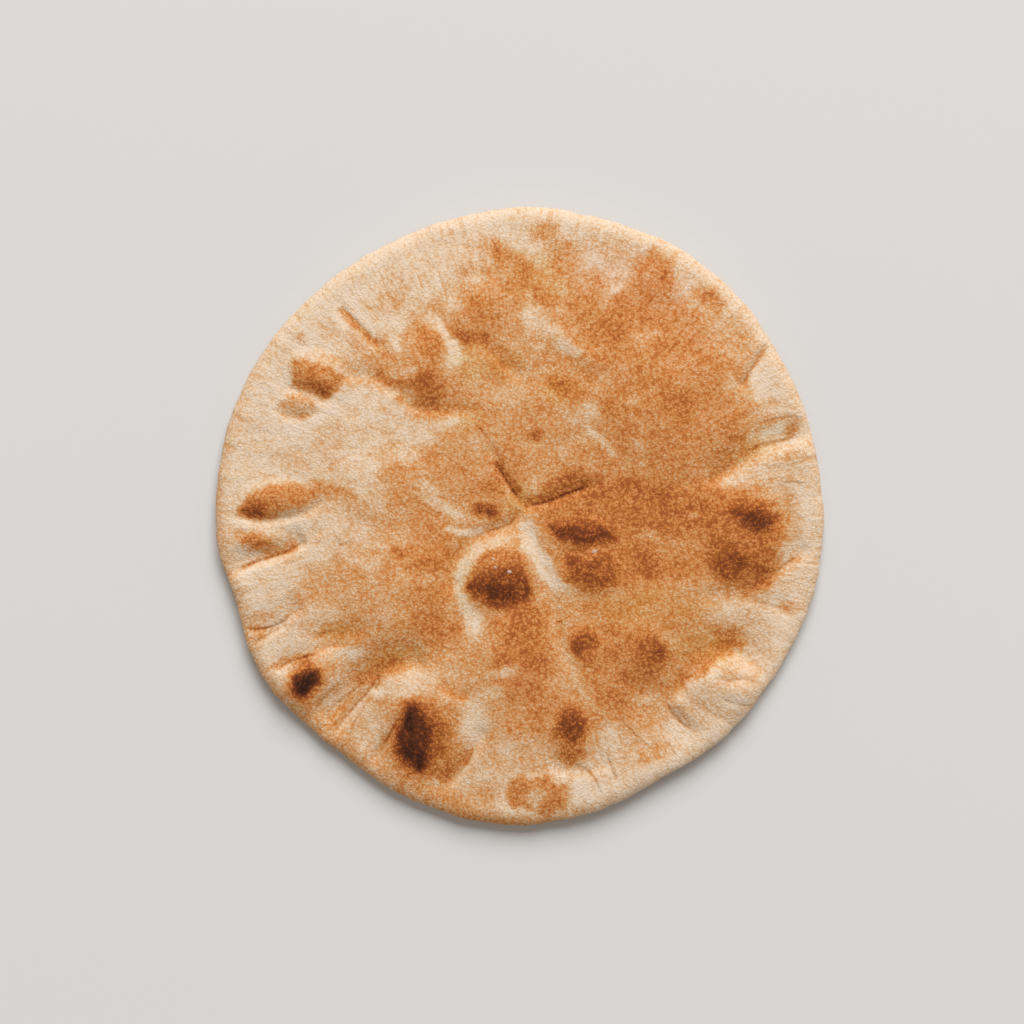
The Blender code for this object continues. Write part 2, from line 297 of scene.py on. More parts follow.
# The underside: its pale base, how much its spots add, and where they end as a share of the radius.
UNDER_PALE = 0.16
UNDER_LIGHT = 0.2
UNDER_DARK = 0.38
UNDER_RIM = (1.02, 0.82)
TOASTING_AND_SHADE = {
    "left_pale": Blob(0.11, 0.7, -78, 20, 46, 58),
    "upper_left_pale": Blob(0.07, 0.7, -54, 56, 38, 24, 42),
    "upper_shoulder_pale": Blob(0.15, 0.8, -30, 67, 19, 13, 20),
    "left_tongue": Blob(0.08, 0.6, -43, 31, 18, 8.5, 5),
    "left_lower_pale": Blob(0.08, 0.7, -72, -17, 17, 9, 5),
    "left_lowest_pale": Blob(0.14, 0.8, -66, -34, 15, 8, 10),
    # left_rim_dull and left_rim_crease: darker crust on the left rim by the lower crease, partly browning and
    # partly painted shade of the fold and rim.
    "left_rim_dull": Blob(0.41, 0.9, -73.5, -31.5, 5, 6),
    "left_rim_crease": Blob(0.36, 0.9, -71, -27.4, 6.5, 2.6, -5),
    "left_plain": Blob(0.38, 0.7, -44, -23, 24, 10, -5),
    "left_inner": Blob(0.52, 0.6, -23, -18, 13.5, 24),
    "left_inner_high": Blob(0.56, 0.8, -24, -12, 9, 8),
    "left_inner_low": Blob(0.58, 0.8, -22, -30, 10, 7),
    "left_inner_side": Blob(0.42, 0.9, -18.5, -25, 3.5, 8),
    "left_inner_line": Streak(0.38, 0.9, 2.8, ((-41, -15), (-34, -17.5), (-26, -17.8), (-18, -15.5))),
    "left_inner_foot": Blob(0.6, 0.9, -23, -35.4, 6, 2.6),
    "left_inner_fleck": Blob(0.62, 0.8, -34, -10, 5, 3),
    "left_light_high": Blob(0.16, 0.8, -50, -4, 16, 9, -10),
    "left_light_far": Blob(0.08, 0.8, -58, -10, 9, 5),
    "left_dome_light": Blob(0.02, 0.8, -61, -2.5, 6, 3.8),
    "left_light_low": Blob(0.2, 0.8, -55, -27, 8, 4),
    "middle_left": Blob(0.42, 0.7, -22, 8, 19, 13),
    "middle_left_light": Blob(0.14, 0.8, -43, 12, 10, 13),
    "middle_left_high": Blob(0.12, 0.7, -30, 22.5, 9, 4.5, -5),
    "middle_left_line": Blob(0.13, 0.9, -43, 21.5, 13, 4),
    "upper_middle": Blob(0.44, 0.6, -4, 60, 18, 16, 20),
    "upper_middle_brown": Blob(0.51, 0.7, -10, 57, 8, 9),
    "upper_middle_foot": Streak(0.62, 0.7, 2.6, ((-24, 54.5), (-18, 51), (-12, 50), (-7, 49.5))),
    "upper_middle_edge": Blob(0.1, 0.9, -18.8, 59.4, 3, 4.4),
    "upper_middle_side": Blob(0.04, 0.9, -25, 64, 5, 3.4, 50),
    "top_slant": Streak(0.54, 0.8, 4.4, ((-11, 77), (-5, 73.5), (1, 69), (5, 64), (10, 59))),
    "top_gap": Blob(0.22, 0.9, -12, 67, 5.5, 2.6),
    "top_right_of_slant": Blob(0.49, 0.8, 12, 70, 7, 8, 20),
    "top_low_faint": Blob(0.43, 0.9, 12, 75, 10, 4),
    "top_side_faint": Blob(0.46, 0.9, 20, 67, 3.4, 4),
    "top_spot": Blob(0.5, 0.8, 7.5, 79, 6.5, 4.5),
    "top_faint": Blob(0.28, 0.9, -11, 76, 6, 6),
    "top_faint_right": Blob(0.28, 0.9, 27, 75, 12, 6, -20),
    "field": Blob(0.5, 0.4, 40, 32, 32, 36),
    "field_high": Blob(0.52, 0.6, 27, 55, 20, 14, 20),
    "field_right": Blob(0.37, 0.8, 60, 50, 10, 12, 45),
    "field_patch": Patch(0.5, 5.0, ((30, 58), (31, 70), (37, 76.5), (44.6, 74), (42.5, 65), (42, 56))),
    "field_gap": Blob(0.33, 0.8, 23.5, 61, 4, 5),
    "field_wedge": Patch(0.15, 2.2, ((47, 72), (45.5, 65.5), (46.5, 61.5), (50, 64), (53.5, 67))),
    "field_blotch": Blob(0.52, 0.7, 52.6, 61.5, 7, 5, -45),
    "field_fleck": Blob(0.12, 0.7, 26.4, 64.6, 3.2, 2.6),
    "field_fleck_low": Blob(0.4, 0.9, 34, 50.5, 3.5, 3),
    "field_light_a": Blob(0.34, 0.9, 38.5, 51, 4.5, 3),
    "field_light_b": Blob(0.38, 0.9, 47, 54, 3.4, 3),
    "field_light_c": Blob(0.33, 0.9, 23, 38, 3.6, 5.4),
    "field_brown_high": Blob(0.6, 0.8, 25, 50, 8, 6, -30),
    "field_brown_mid": Blob(0.58, 0.8, 45, 31, 14, 8, 20),
    "field_brown_low": Blob(0.51, 0.8, 44, 18, 16, 7),
    "pale_patch_high": Blob(0.2, 0.8, 3.5, 55.5, 6.5, 5.5, -30),
    "pale_ridge_high": Streak(0.18, 0.8, 2.7, ((4, 56), (9.5, 51.5), (13, 47.8), (18, 44.8))),
    "brown_fleck_high": Blob(0.58, 0.8, 7, 60, 4, 2.6, -20),
    "field_light_h": Blob(0.33, 0.9, 11.5, 57.6, 4.8, 2.6),
    "right_triangle": Patch(
        0.09, 2.5,
        ((70, 48), (64.6, 39), (65.4, 33), (72, 29.5), (79, 28), (79, 40), (74, 47)),
    ),
    "right_triangle_low": Blob(0.26, 0.9, 71.5, 32, 7.5, 3.4),
    # right_fold: browning with painted shade on the fold's shaded side.
    "right_fold": Streak(0.48, 0.8, 4.2, ((51, 10.5), (57, 14), (62, 16.4), (67, 20))),
    "right_fold_loop": Streak(0.3, 0.8, 3.0, ((62, 21), (68, 25.5), (74, 27.5), (79, 25))),
    "right_fold_light": Blob(0.1, 0.7, 69, 23, 4.8, 1.6, 28),
    "right_fold_end": Blob(0.55, 0.8, 75.8, 24, 5, 2.8, 35),
    "right_fold_low": Blob(0.2, 0.6, 72, 14.5, 15, 6, 8),
    "right_fold_faint": Blob(0.4, 0.8, 75, 17.3, 7, 2.2, 5),
    "right_fold_gold": Blob(0.16, 0.8, 60.5, 10.5, 8, 3, 10),
    "pale_mark_high": Blob(0.28, 0.9, 5.5, 47.6, 5, 2.2),
    "olive_high": Blob(0.56, 0.7, -5, 43, 7, 6, -40),
    "gold_high": Blob(0.36, 0.6, -13, 43, 5, 5.5),
    "pale_high": Streak(0.1, 0.7, 2.9, ((-27, 58), (-23.5, 54), (-20.2, 49.5), (-18.3, 45), (-18.3, 38))),
    "streak_left": Streak(
        0.5, 0.7, 2.2,
        ((-50.8, 58.8), (-47.5, 55.2), (-44.5, 52), (-41, 49), (-37.5, 46)),
    ),
    "streak_left_side": Blob(0.38, 0.8, -45.5, 48.5, 6.5, 3.6, -45),
    "streak_left_dull": Blob(0.21, 0.9, -42, 58.2, 6.5, 2.4, -45),
    "streak_left_light": Streak(0.04, 0.8, 1.8, ((-50.5, 61), (-46, 57.2), (-42, 53.6), (-37.5, 49.6))),
    "blotch_area": Blob(0.37, 0.7, -39.5, 43, 7.5, 5.5, -35),
    "blotch_foot": Streak(
        0.56, 0.8, 2.0,
        ((-41.5, 42.6), (-38, 40), (-34.5, 38), (-30, 37.6), (-26, 37.6)),
    ),
    # Painted shade on the slope under the blotch.
    "blotch_shade": Blob(0.45, 0.8, -32, 33.2, 6, 2.8),
    "blotch_high": Patch(
        0.55, 3.5,
        ((-28.5, 52.5), (-26, 54), (-22, 51), (-20.8, 46), (-23, 42.5), (-27, 43.5), (-29.6, 46.5)),
    ),
    "blotch_gap": Blob(0.08, 0.9, -33.5, 54.5, 3.6, 5),
    "blotch_left_gap": Blob(0.05, 0.9, -34.6, 47.6, 5.6, 3.4, -60),
    "blotch_low": Patch(
        0.68, 4.5,
        ((-28, 41.5), (-28.5, 31.5), (-24, 29.5), (-20.5, 30.5), (-21, 40), (-24, 42)),
    ),
    "blotch_fleck": Streak(0.3, 0.9, 0.9, ((-36, 39.2), (-32, 40.2), (-28, 41.5))),
    "blotch_tail": Streak(0.5, 0.8, 2.3, ((-24, 31.8), (-19, 31.3), (-14, 31), (-10, 30.5))),
    "pale_streak_left": Streak(
        0.13, 0.8, 2.8,
        ((-41, 26), (-34, 25.5), (-27, 25), (-19, 25.8), (-12, 27.5)),
    ),
    "left_faint_brown": Blob(0.29, 0.9, -37, 29.8, 4.5, 2.6),
    # left_shoulder_light and left_lobe_light: painted light, pale dough made paler still where these slopes
    # face the lamp.
    "left_shoulder_light": Blob(0.03, 0.8, -73, 33, 6.5, 6),
    "left_lobe_light": Streak(0.03, 0.8, 2.7, ((-71, 27), (-62, 25), (-55, 28), (-48, 33), (-43, 36.2))),
    "left_patch_halo": Streak(0.3, 0.8, 2.2, ((-58, 45.8), (-51, 43.8), (-45, 41.6), (-39, 41.5))),
    "left_patch_high": Patch(
        0.53, 2.4,
        ((-63.8, 44), (-63, 36.3), (-54, 32.9), (-50.6, 35), (-48.7, 39), (-53, 42.5)),
    ),
    "left_patch_core": Blob(0.7, 0.8, -55, 36.2, 6, 3.2, -28),
    "left_lobe": Patch(
        0.36, 2.2,
        ((-68.5, 31), (-66, 28.6), (-60, 27.9), (-55.5, 30.2), (-57.5, 33), (-62, 34.8)),
    ),
    "left_lobe_foot": Streak(0.32, 0.8, 1.3, ((-68, 30.6), (-64, 29.2), (-60, 28.9), (-57, 29.8))),
    "left_fleck": Blob(0.3, 0.8, -60.5, 49.8, 3.5, 2.2, -40),
    "upper_left_faint": Blob(0.21, 0.9, -52, 51.5, 7, 4, -30),
    "left_faint_high": Blob(0.3, 0.8, -37, 60, 6, 5),
    "left_faint_low": Blob(0.2, 0.9, -52, 25, 5, 4),
    "left_line": Blob(0.1, 0.9, -50, 17.5, 9, 2.6),
    "left_faint_dashes": Blob(0.24, 0.9, -64, 16, 9, 5),
    "centre_light_a": Blob(0.3, 0.8, -4, 34, 9, 4.5, -5),
    "centre_light_b": Blob(0.26, 0.8, 15, 28, 8, 4, -10),
    "centre_light_c": Blob(0.32, 0.8, -12, 20, 4.5, 6),
    "centre_brown_a": Blob(0.67, 0.8, 11, 36.5, 7.5, 3.8, -38),
    "centre_brown_b": Blob(0.67, 0.8, 4.5, 23, 4.5, 4),
    "centre_brown_c": Blob(0.53, 0.8, 26.5, 29, 4.5, 4.5),
    "centre_brown_d": Blob(0.42, 0.8, -16, 24, 6, 3.4),
    "centre_brown_e": Blob(0.48, 0.8, -24, 16.5, 3.6, 3),
    "centre_light_d": Blob(0.17, 0.8, -31, 17.5, 6, 4),
    "centre_brown_f": Blob(0.48, 0.8, -15, 9.5, 5.5, 6),
    "centre_brown_g": Blob(0.43, 0.8, -35.5, 12, 6, 2.6),
    "centre_brown_h": Blob(0.55, 0.8, -2, 16, 5, 8),
    "centre_pale_a": Blob(0.2, 0.8, -26, 9, 5, 2.2, -30),
    "middle_left_gap": Blob(0.2, 0.9, -39.5, 3.5, 5, 5.5),
    "left_inner_gap": Blob(0.22, 0.9, -43, -12.5, 8, 3.8),
    "centre_pale_b": Blob(0.2, 0.8, 19.5, 30, 5, 3.5, -20),
    "centre_pale_c": Blob(0.3, 0.8, 17, 22, 3.5, 2.5),
    "centre_pale_d": Streak(0.24, 0.8, 2.0, ((16.5, 26.5), (21, 23), (24.6, 19), (26, 15))),
    "centre_pale_e": Blob(0.3, 0.8, 33, 19.5, 3.2, 2.8),
    "field_light_d": Blob(0.38, 0.9, 31.5, 31.5, 3, 2.8),
    "field_light_e": Blob(0.36, 0.9, 33.5, 15, 2.4, 4),
    "field_light_f": Blob(0.42, 0.9, 50.5, 13.5, 5, 4.5),
    "field_light_g": Blob(0.32, 0.9, 60, 36, 6, 7),
    "centre_pale_f": Blob(0.46, 0.8, 6, 14, 4, 5),
    "navel_brown_left": Blob(0.8, 0.8, -9, 2, 6, 4),
    "navel_brown_high": Blob(0.62, 0.8, -7, 8.5, 5, 5),
    "navel_brown_up": Streak(0.68, 0.8, 2.2, ((1, 5), (-2, 8.5), (-5, 12.5), (-7, 17))),
    "navel_pale_left": Streak(0.2, 0.8, 2.1, ((-29, 8), (-23, 4.2), (-18.5, 1), (-14, -2.5))),
    "navel_pale_low": Streak(0.13, 0.8, 1.5, ((-22, -3), (-17, -4), (-13, -4.4), (-8.5, -4))),
    "navel_grey": Blob(0.37, 0.8, 4.5, 9, 3, 4, 10),
    "navel_dark": Blob(0.6, 0.8, 2, 4.6, 3.4, 2.6),
    "right_middle": Blob(0.64, 0.5, 32, 2, 33, 11),
    "right_middle_low": Blob(0.58, 0.6, 30, -13, 27, 10),
    "above_crease": Patch(0.68, 4.5, ((5, 4.8), (7, 10), (13, 14), (22, 12.5), (24, 9.5), (14, 6.3))),
    "right_arc": Patch(0.84, 4.0, ((8, -2), (16, -0.5), (26, -3), (27, -7), (18, -8), (11, -6.5))),
    "right_brown": Patch(
        0.76, 5.5,
        ((12, -9), (14.5, -17), (20, -20.5), (26.5, -18), (25.5, -10), (18, -11.5)),
    ),
    "right_between": Blob(0.6, 0.9, 17, -9.5, 8, 2),
    "right_faint": Blob(0.64, 0.8, 36, -13.5, 7, 5.5),
    "right_light": Blob(0.42, 0.9, 37, -5.5, 6, 3),
    "right_light_low": Blob(0.44, 0.9, 42, -9.5, 5.5, 4),
    "right_spot_light": Blob(0.42, 0.9, 48.5, 0.8, 2.8, 2.2),
    "right_plain_low": Blob(0.46, 0.7, 33, -26, 23, 8),
    "mid_right_gold": Blob(0.6, 0.9, 25, -30.5, 8, 3.2),
    "right_dome_side": Blob(0.33, 0.8, 74.5, -2, 5.5, 9),
    "right_dome_top": Blob(0.36, 0.8, 73.4, 5, 4, 4),
    # right_dome_foot: partly browning and partly painted shade along the fold below the right dome.
    "right_dome_foot": Blob(0.36, 0.9, 76.5, -12, 5.5, 3, 35),
    "right_dome": Blob(0.64, 0.4, 62, -5.5, 13.8, 15),
    "right_dome_wide": Blob(0.55, 0.6, 67, -1, 9, 7.5),
    "right_dome_high": Patch(
        0.87, 6.0,
        ((58, 1.2), (62, 3.6), (67, 3), (70, -0.5), (69, -4), (65, -4), (60.5, -2)),
    ),
    "right_dome_low": Patch(
        0.75, 7.0,
        ((50.5, -12), (55, -10), (62, -10.5), (69, -12), (69.5, -16), (63, -19.5), (56, -17)),
    ),
    # Painted shade: the shaded lower side of the right dome.
    "right_dome_shade": Blob(0.66, 0.8, 67, -17.5, 8.5, 5, 30),
    "right_low_gold": Blob(0.17, 0.8, 61, -27, 12, 5),
    "right_low_crease": Blob(0.36, 0.8, 75, -25, 5.5, 2.8, -20),
    "small_right_low": Blob(0.78, 0.6, 17.8, -35, 6.2, 6.8),
    "broad_right_low": Blob(0.58, 0.6, 30, -40.5, 16, 11),
    "broad_right_core": Blob(0.72, 0.8, 36, -37.5, 7.5, 8.5, 20),
    # broad_right_slope: partly browning and partly painted shade on the slope that falls towards the pale
    # dome.
    "broad_right_slope": Streak(
        0.58, 0.7, 4.6,
        ((65, -32), (59, -34.5), (53.5, -38.5), (48, -43.5), (41.5, -50.5)),
    ),
    "pale_dome": Patch(
        0.19, 1.8,
        (
            (50, -61), (44.5, -57), (42.4, -53.4), (44.2, -49.4), (46.6, -45.8), (52.5, -44.6), (55, -40.6),
            (59, -38.4), (63, -38.6), (67, -42), (66, -54),
        ),
    ),
    "pale_dome_dull": Blob(0.26, 0.9, 48, -52, 6, 6),
    "pale_dome_light": Blob(0.02, 0.8, 60.5, -51, 7, 3.2, 5),
    "low_right_pale": Blob(0.06, 0.7, 45, -60, 7, 4, -40),
    "low_right_plain": Blob(0.57, 0.8, 25, -51, 11, 6, -35),
    "low_right_gap": Blob(0.24, 0.8, 36, -50.8, 5.5, 3),
    "low_right_rim": Blob(0.43, 0.9, 37, -65, 8, 5, 30),
    "column": Blob(0.6, 0.6, 1, -37, 11, 20),
    "column_low": Blob(0.5, 0.7, 3, -56, 12, 12),
    "column_red": Blob(0.56, 0.8, -0.5, -47.5, 8, 5.5),
    "column_pale": Blob(0.15, 0.9, -4, -43, 6, 2.8, 5),
    "column_side_low": Blob(0.12, 0.7, -13, -57.5, 5.8, 12, 6),
    "column_side_high": Blob(0.2, 0.9, -8.5, -48.8, 5.5, 3.6, 20),
    "low_spot_gold": Blob(0.45, 0.8, 20.5, -56.5, 4, 6),
    "low_spot": Blob(0.8, 0.7, 14.3, -58.3, 6.8, 8.6),
    "low_spot_tail": Blob(0.65, 0.7, 14.5, -65.5, 5.6, 5.2),
    "low_plain": Blob(0.28, 0.7, 0, -66, 14, 8),
    # low_rim and low_rim_dull: painted shade, the lower rim darkened where it turns from the light.
    "low_rim": Streak(
        0.45, 0.9, 8.0,
        ((-70, -42), (-57, -57), (-41, -70), (-22, -78), (-3, -83)),
    ),
    "low_rim_dull": Blob(0.4, 0.9, -10, -76.5, 9, 4.4),
    "low_right_light": Blob(0.14, 0.7, 25, -64, 5, 8, 10),
    "low_ring_outer": Blob(0.53, 0.35, 5.6, -77, 11, 6.6),
    "low_ring_gold": Blob(0.52, 0.8, 12, -77, 5, 4.5),
    "low_ring_inner": Blob(0.31, 0.8, 4, -77.8, 5.2, 3.8),
    "low_ring_eye": Blob(0.36, 0.8, 2, -78, 2.8, 2.4),
    "low_ring_left": Streak(
        0.54, 0.8, 1.6,
        ((3.5, -71.4), (-1, -73.2), (-2.9, -76.6), (-2.2, -80.2), (1, -82.4)),
    ),
    "low_ring_line": Streak(0.6, 0.9, 1.1, ((8.5, -74.5), (10.4, -77), (10.6, -80))),
    "low_ring_light": Blob(0.0, 0.6, 19.5, -76.8, 7.5, 5),
    "low_ring_gap": Blob(0.15, 0.7, 12, -72.6, 6, 2.6),
    "band_high": Streak(
        0.06, 0.7, 3.3,
        ((-0.5, 2), (1.8, -3.5), (4.2, -9.4), (7.8, -14.6), (10.8, -19), (11.6, -23)),
    ),
    "band_low": Streak(
        0.33, 0.9, 2.3,
        ((9, -17), (9.3, -24), (10, -30), (12, -35), (13.6, -40), (15.6, -45), (18.5, -50), (23, -56)),
    ),
    "tiny_spot": Blob(0.78, 0.8, 11, -28.8, 1.3, 0.9),
    "dome_foot": Streak(
        0.15, 0.9, 3.3,
        (
            (1.5, -6), (-4, -6.2), (-8.8, -8), (-12.9, -10.8), (-15.6, -14.8), (-16.3, -19),
            (-15, -24), (-12.6, -30),
        ),
    ),
    "dome_foot_right": Blob(0.1, 0.9, 1.8, -7.6, 3.4, 5, 25),
    "dome_foot_low": Blob(0.03, 0.9, -12.6, -28.8, 4, 8.4, 12),
    "dome": Patch(
        0.6, 4.0,
        (
            (-12, -13), (-8, -9), (-3, -9), (0, -11.5), (3, -19), (4.5, -30), (-5, -31), (-9, -26),
            (-13.5, -20),
        ),
    ),
    "dome_brown": Patch(
        0.78, 2.4,
        (
            (-15.8, -20), (-10, -15.5), (-3, -12.5), (2, -15), (3.6, -20), (2.4, -24), (-3.8, -25.8),
            (-10, -22.8),
        ),
    ),
    "dome_upper": Blob(0.58, 0.9, -5, -12.5, 8.5, 3.8, -5),
    "dome_core": Blob(0.88, 0.8, -5, -21, 7, 3.6, -25),
    "dome_wedge": Streak(0.42, 0.9, 1.8, ((-13, -22.6), (-9, -24.8), (-5, -26.8), (-1, -28.2))),
    "column_left": Blob(0.37, 0.8, -18, -43.5, 10, 5),
    "low_left_light": Blob(0.18, 0.6, -31, -46, 12, 6, 10),
    "low_left_spot_light": Blob(0.07, 0.8, -40, -48.6, 3.6, 3.2),
    "low_left_plain": Blob(0.24, 0.8, -45, -60, 14, 12, 45),
    # Painted shade: the lower left rim darkened where it turns from the light.
    "low_left_rim_dull": Blob(0.34, 0.9, -47, -64, 9, 4.4, -42),
    "low_left_halo": Patch(
        0.5, 5.0,
        (
            (-34, -52), (-30, -49.5), (-20, -52), (-18.5, -60), (-16, -65), (-19, -71), (-28, -73),
            (-34, -66),
        ),
    ),
    "low_left_brown": Patch(
        0.7, 5.0,
        (
            (-31.5, -51), (-24, -50.5), (-21, -57), (-20, -66), (-26, -71.5), (-32, -72.5),
            (-36.6, -65.5), (-33, -57),
        ),
    ),
    "low_left_corner": Patch(0.55, 2.0, ((-24, -66), (-12.8, -64.6), (-19.8, -75), (-23, -73))),
    "low_left_char": Patch(
        0.93, 3.8,
        (
            (-31.2, -51.3), (-27.8, -51.6), (-25.2, -58), (-24.8, -65), (-28.5, -70.6), (-31.9, -68.7),
            (-34.6, -65), (-32.6, -57),
        ),
    ),
    "low_left_edge": Streak(0.4, 0.9, 1.6, ((-33.5, -54), (-35.5, -59), (-37.5, -63), (-40, -67))),
    "left_low_halo": Blob(0.26, 0.7, -55, -44, 11, 7, 30),
    "left_low_gold": Blob(0.28, 0.8, -52, -40.5, 5, 4),
    "left_low_brown": Blob(0.8, 0.9, -59.6, -46.2, 8.8, 7.2, 52),
    "left_low_char": Blob(0.98, 0.9, -59.4, -45.9, 6.6, 4.6, 54),
    "left_dome": Patch(
        0.54, 2.8,
        (
            (-79, 1.5), (-76.5, 6), (-70, 9.3), (-62, 9.8), (-57, 8.2), (-56.5, 5), (-62, 2),
            (-68, -0.5), (-74, -0.5),
        ),
    ),
    "left_dome_brown": Blob(0.76, 0.75, -74.3, 2.2, 6.5, 3.2, -5),
    "left_dome_right": Streak(0.46, 0.8, 3.6, ((-60, 10), (-54, 8), (-49, 6.5), (-44.5, 4))),
    "left_strip": Blob(0.58, 0.7, -73.2, -6.2, 8.4, 4, -8),
    "left_strip_tail": Streak(0.44, 0.8, 2.4, ((-72, -8.5), (-66, -8.5), (-61, -6.5))),
    "small_low_crease": Streak(0.52, 0.8, 1.8, ((-22, -45), (-18.5, -49), (-14, -49))),
    "left_low_light": Blob(0.16, 0.8, -48.5, -37.6, 9, 3, 8),
    # low_left_valley: painted shade in the valley, over its browning.
    "low_left_valley": Streak(0.58, 0.8, 3.2, ((-48, -47), (-42, -43), (-36, -41), (-30, -39))),
    "low_left_groove": Streak(0.52, 0.9, 2.4, ((-45.5, -47), (-47.5, -50.5), (-51, -55.5), (-55, -60))),
    "left_crease_brown": Streak(0.46, 0.8, 2.6, ((-58, -33.3), (-53, -32.3), (-48, -31.6), (-41, -31.5))),
    "left_crease_low": Streak(0.4, 0.8, 1.6, ((-71, -42.5), (-66, -40.8), (-61, -39.3), (-56, -37.6))),
    "left_crease_main": Streak(0.36, 0.8, 1.4, ((-80, -14.4), (-74, -12), (-68, -10), (-62, -7.5))),
    "right_rim_crease": Streak(0.38, 0.8, 1.1, ((61, 35), (63.8, 39.5), (66.5, 44), (69.5, 48.5))),
}

# ---- Tint: above 0 the toasting is yellower, below 0 redder; the marked entries are painted shade
TINTS = {
    "gold_high": Blob(0.7, 0.7, -13, 43, 7, 8),
    "olive_high": Blob(0.7, 0.8, -4, 42, 8, 7),
    "top": Blob(0.5, 0.8, 6, 66, 14, 12),
    "centre": Blob(0.8, 0.8, 12, 36, 9, 7),
    "centre_left": Blob(0.6, 0.8, -14, 28, 7, 6),
    # navel: painted shade, the greyer tone of the navel's hollow.
    "navel": Blob(0.9, 0.8, 0, 5, 7, 6),
    "right_low": Blob(0.7, 0.8, 36, -25, 24, 9),
    # pale_dome_slope, right_fold and low_left_valley: painted shade, the greyer, yellower tone of shaded
    # slopes and valleys.
    "pale_dome_slope": Blob(0.9, 0.8, 52, -36, 14, 7),
    "right_fold": Blob(0.5, 0.8, 66, 20, 14, 7, 25),
    "low_left_valley": Blob(0.9, 0.8, -34, -39, 12, 5, 12),
    "left_middle": Blob(0.8, 0.8, -50, -32, 9, 4),
    "dome_rim": Blob(0.4, 0.8, -16, -14, 8, 14),
    "upper_right": Blob(-0.9, 0.7, 34, 64, 28, 12, -20),
    "field_high": Blob(-0.5, 0.8, 48, 48, 14, 14),
    "right_arc": Blob(-0.8, 0.8, 17, -5, 10, 4),
    "dome_high": Blob(-0.8, 0.8, -6, -12, 9, 4.5),
    "dome_low": Blob(-0.7, 0.8, -4, -25, 9, 5),
    "column": Blob(-0.6, 0.8, 0, -44, 9, 12),
    "right_dome": Blob(-0.9, 0.8, 61, 4, 10, 5),
}

# ---- Flour flecks: x, y, half length, half width, turn
FLECKS = (
    (-2.9, -15.0, 0.8, 0.5, -15.0),
    (-6.7, -13.8, 0.45, 0.3, -35.0),
    (-7.2, -11.5, 0.6, 0.3, -30.0),
    (20.8, -9.4, 0.8, 0.5, 20.0),
)
FLECK_HALF_HEIGHT = 0.1

# ---- Chance: each layer's last number is its fixed seed
NOISE_CELLS = 256
# Height of a layer, length over which it changes, seed.
WARP_X = ((0.9, 5.0, 11), (0.35, 1.7, 13))
WARP_Y = ((0.9, 5.0, 12), (0.35, 1.7, 14))
LUMPS = ((0.28, 13.0, 21), (0.12, 5.5, 22), (0.035, 1.4, 23))
SPOKE_BEND_X = ((1.6, 9.0, 34),)
SPOKE_BEND_Y = ((1.6, 9.0, 35),)
TOAST_MOTTLE = ((0.05, 4.0, 51), (0.045, 2.0, 52))
DIMPLES = ((0.3, 8.0, 61), (0.12, 3.0, 63))
UNDER_SPOTS = ((1.1, 9.0, 61), (0.5, 3.4, 63))
UNDER_BROAD = ((0.5, 26.0, 62),)
# Height of a layer, its spokes round the loaf, length over which they change, seed.
FINE_SPOKES = ((0.65, 230, 12.0, 31), (0.35, 400, 7.0, 32))
RIM_DENTS = ((0.3, 60, 10.0, 41), (0.16, 170, 10.0, 42))
# A rim pattern: where it begins and is full, its even and uneven shares, length, seed.
SPOKES_AT = (48.0, 74.0, 0.65, 0.35, 17.0, 32)
WRINKLES_AT = (40.0, 70.0, 0.7, 0.5, 14.0, 32)


# ---- Settings a user may change
def length(name, description, default):
    return FloatProperty(name=name, description=description, default=default, unit="LENGTH")


def share(name, description, default):
    return FloatProperty(name=name, description=description, default=default, subtype="FACTOR")


def angle(name, description, degrees):
    return FloatProperty(name=name, description=description, default=math.radians(degrees), subtype="ANGLE")


def colour(name, description, *default):
    return FloatVectorProperty(name=name, description=description, default=default, subtype="COLOR")


class LoafSizes(bpy.types.PropertyGroup):
    radius: length(
        "Radius",
        "Mean distance from the middle to the rim",
        (CAD_BOX[1][0] - CAD_BOX[0][0]) / 2.0 - SIDE_SWELL * MM,
    )
    rim_half_thickness: length("Rim half thickness", "Half the thickness of the rim", 0.0027)
    nose_depth: length("Nose depth", "How far the rim's rounding reaches inwards", 0.0046)
    crown_rise: length("Crown rise", "Height of the middle above the rim", 0.0034)
    crown_slope: length("Crown slope", "Width over which the crown rises", 0.036)
    rim_lift: length("Rim lift", "How far the rim stands off the table", 0.0009)
    base_share: share("Base share", "Share of the underside that lies flat", 0.72)
    wrinkle_height: length("Wrinkle height", "Height of the fine wrinkles at the rim", 0.00016)
    top_cells: IntProperty(name="Top cells", description="Mesh cells across the upper crust", default=264)
    under_cells: IntProperty(name="Under cells", description="Mesh cells across the underside", default=132)


class CrustLook(bpy.types.PropertyGroup):
    raw: colour("Raw", "Unbaked, floury dough", 0.807, 0.631, 0.479)
    cream: colour("Cream", "Pale crust", 0.760, 0.552, 0.371)
    straw: colour("Straw", "Lightly baked crust", 0.693, 0.423, 0.227)
    golden: colour("Golden", "Golden crust", 0.652, 0.311, 0.117)
    toasted: colour("Toasted", "Orange-brown crust", 0.595, 0.209, 0.051)
    brown: colour("Brown", "Well browned crust", 0.370, 0.100, 0.022)
    dark: colour("Dark", "Dark brown crust", 0.170, 0.043, 0.014)
    char: colour("Char", "Charred crust", 0.036, 0.014, 0.008)
    flour: colour("Flour", "Flour flecks", 0.64, 0.44, 0.35)
    roughness: share("Roughness", "Roughness of the crust", 0.78)
    grain: length("Grain", "Size of the crust's fine grain", 0.00098)


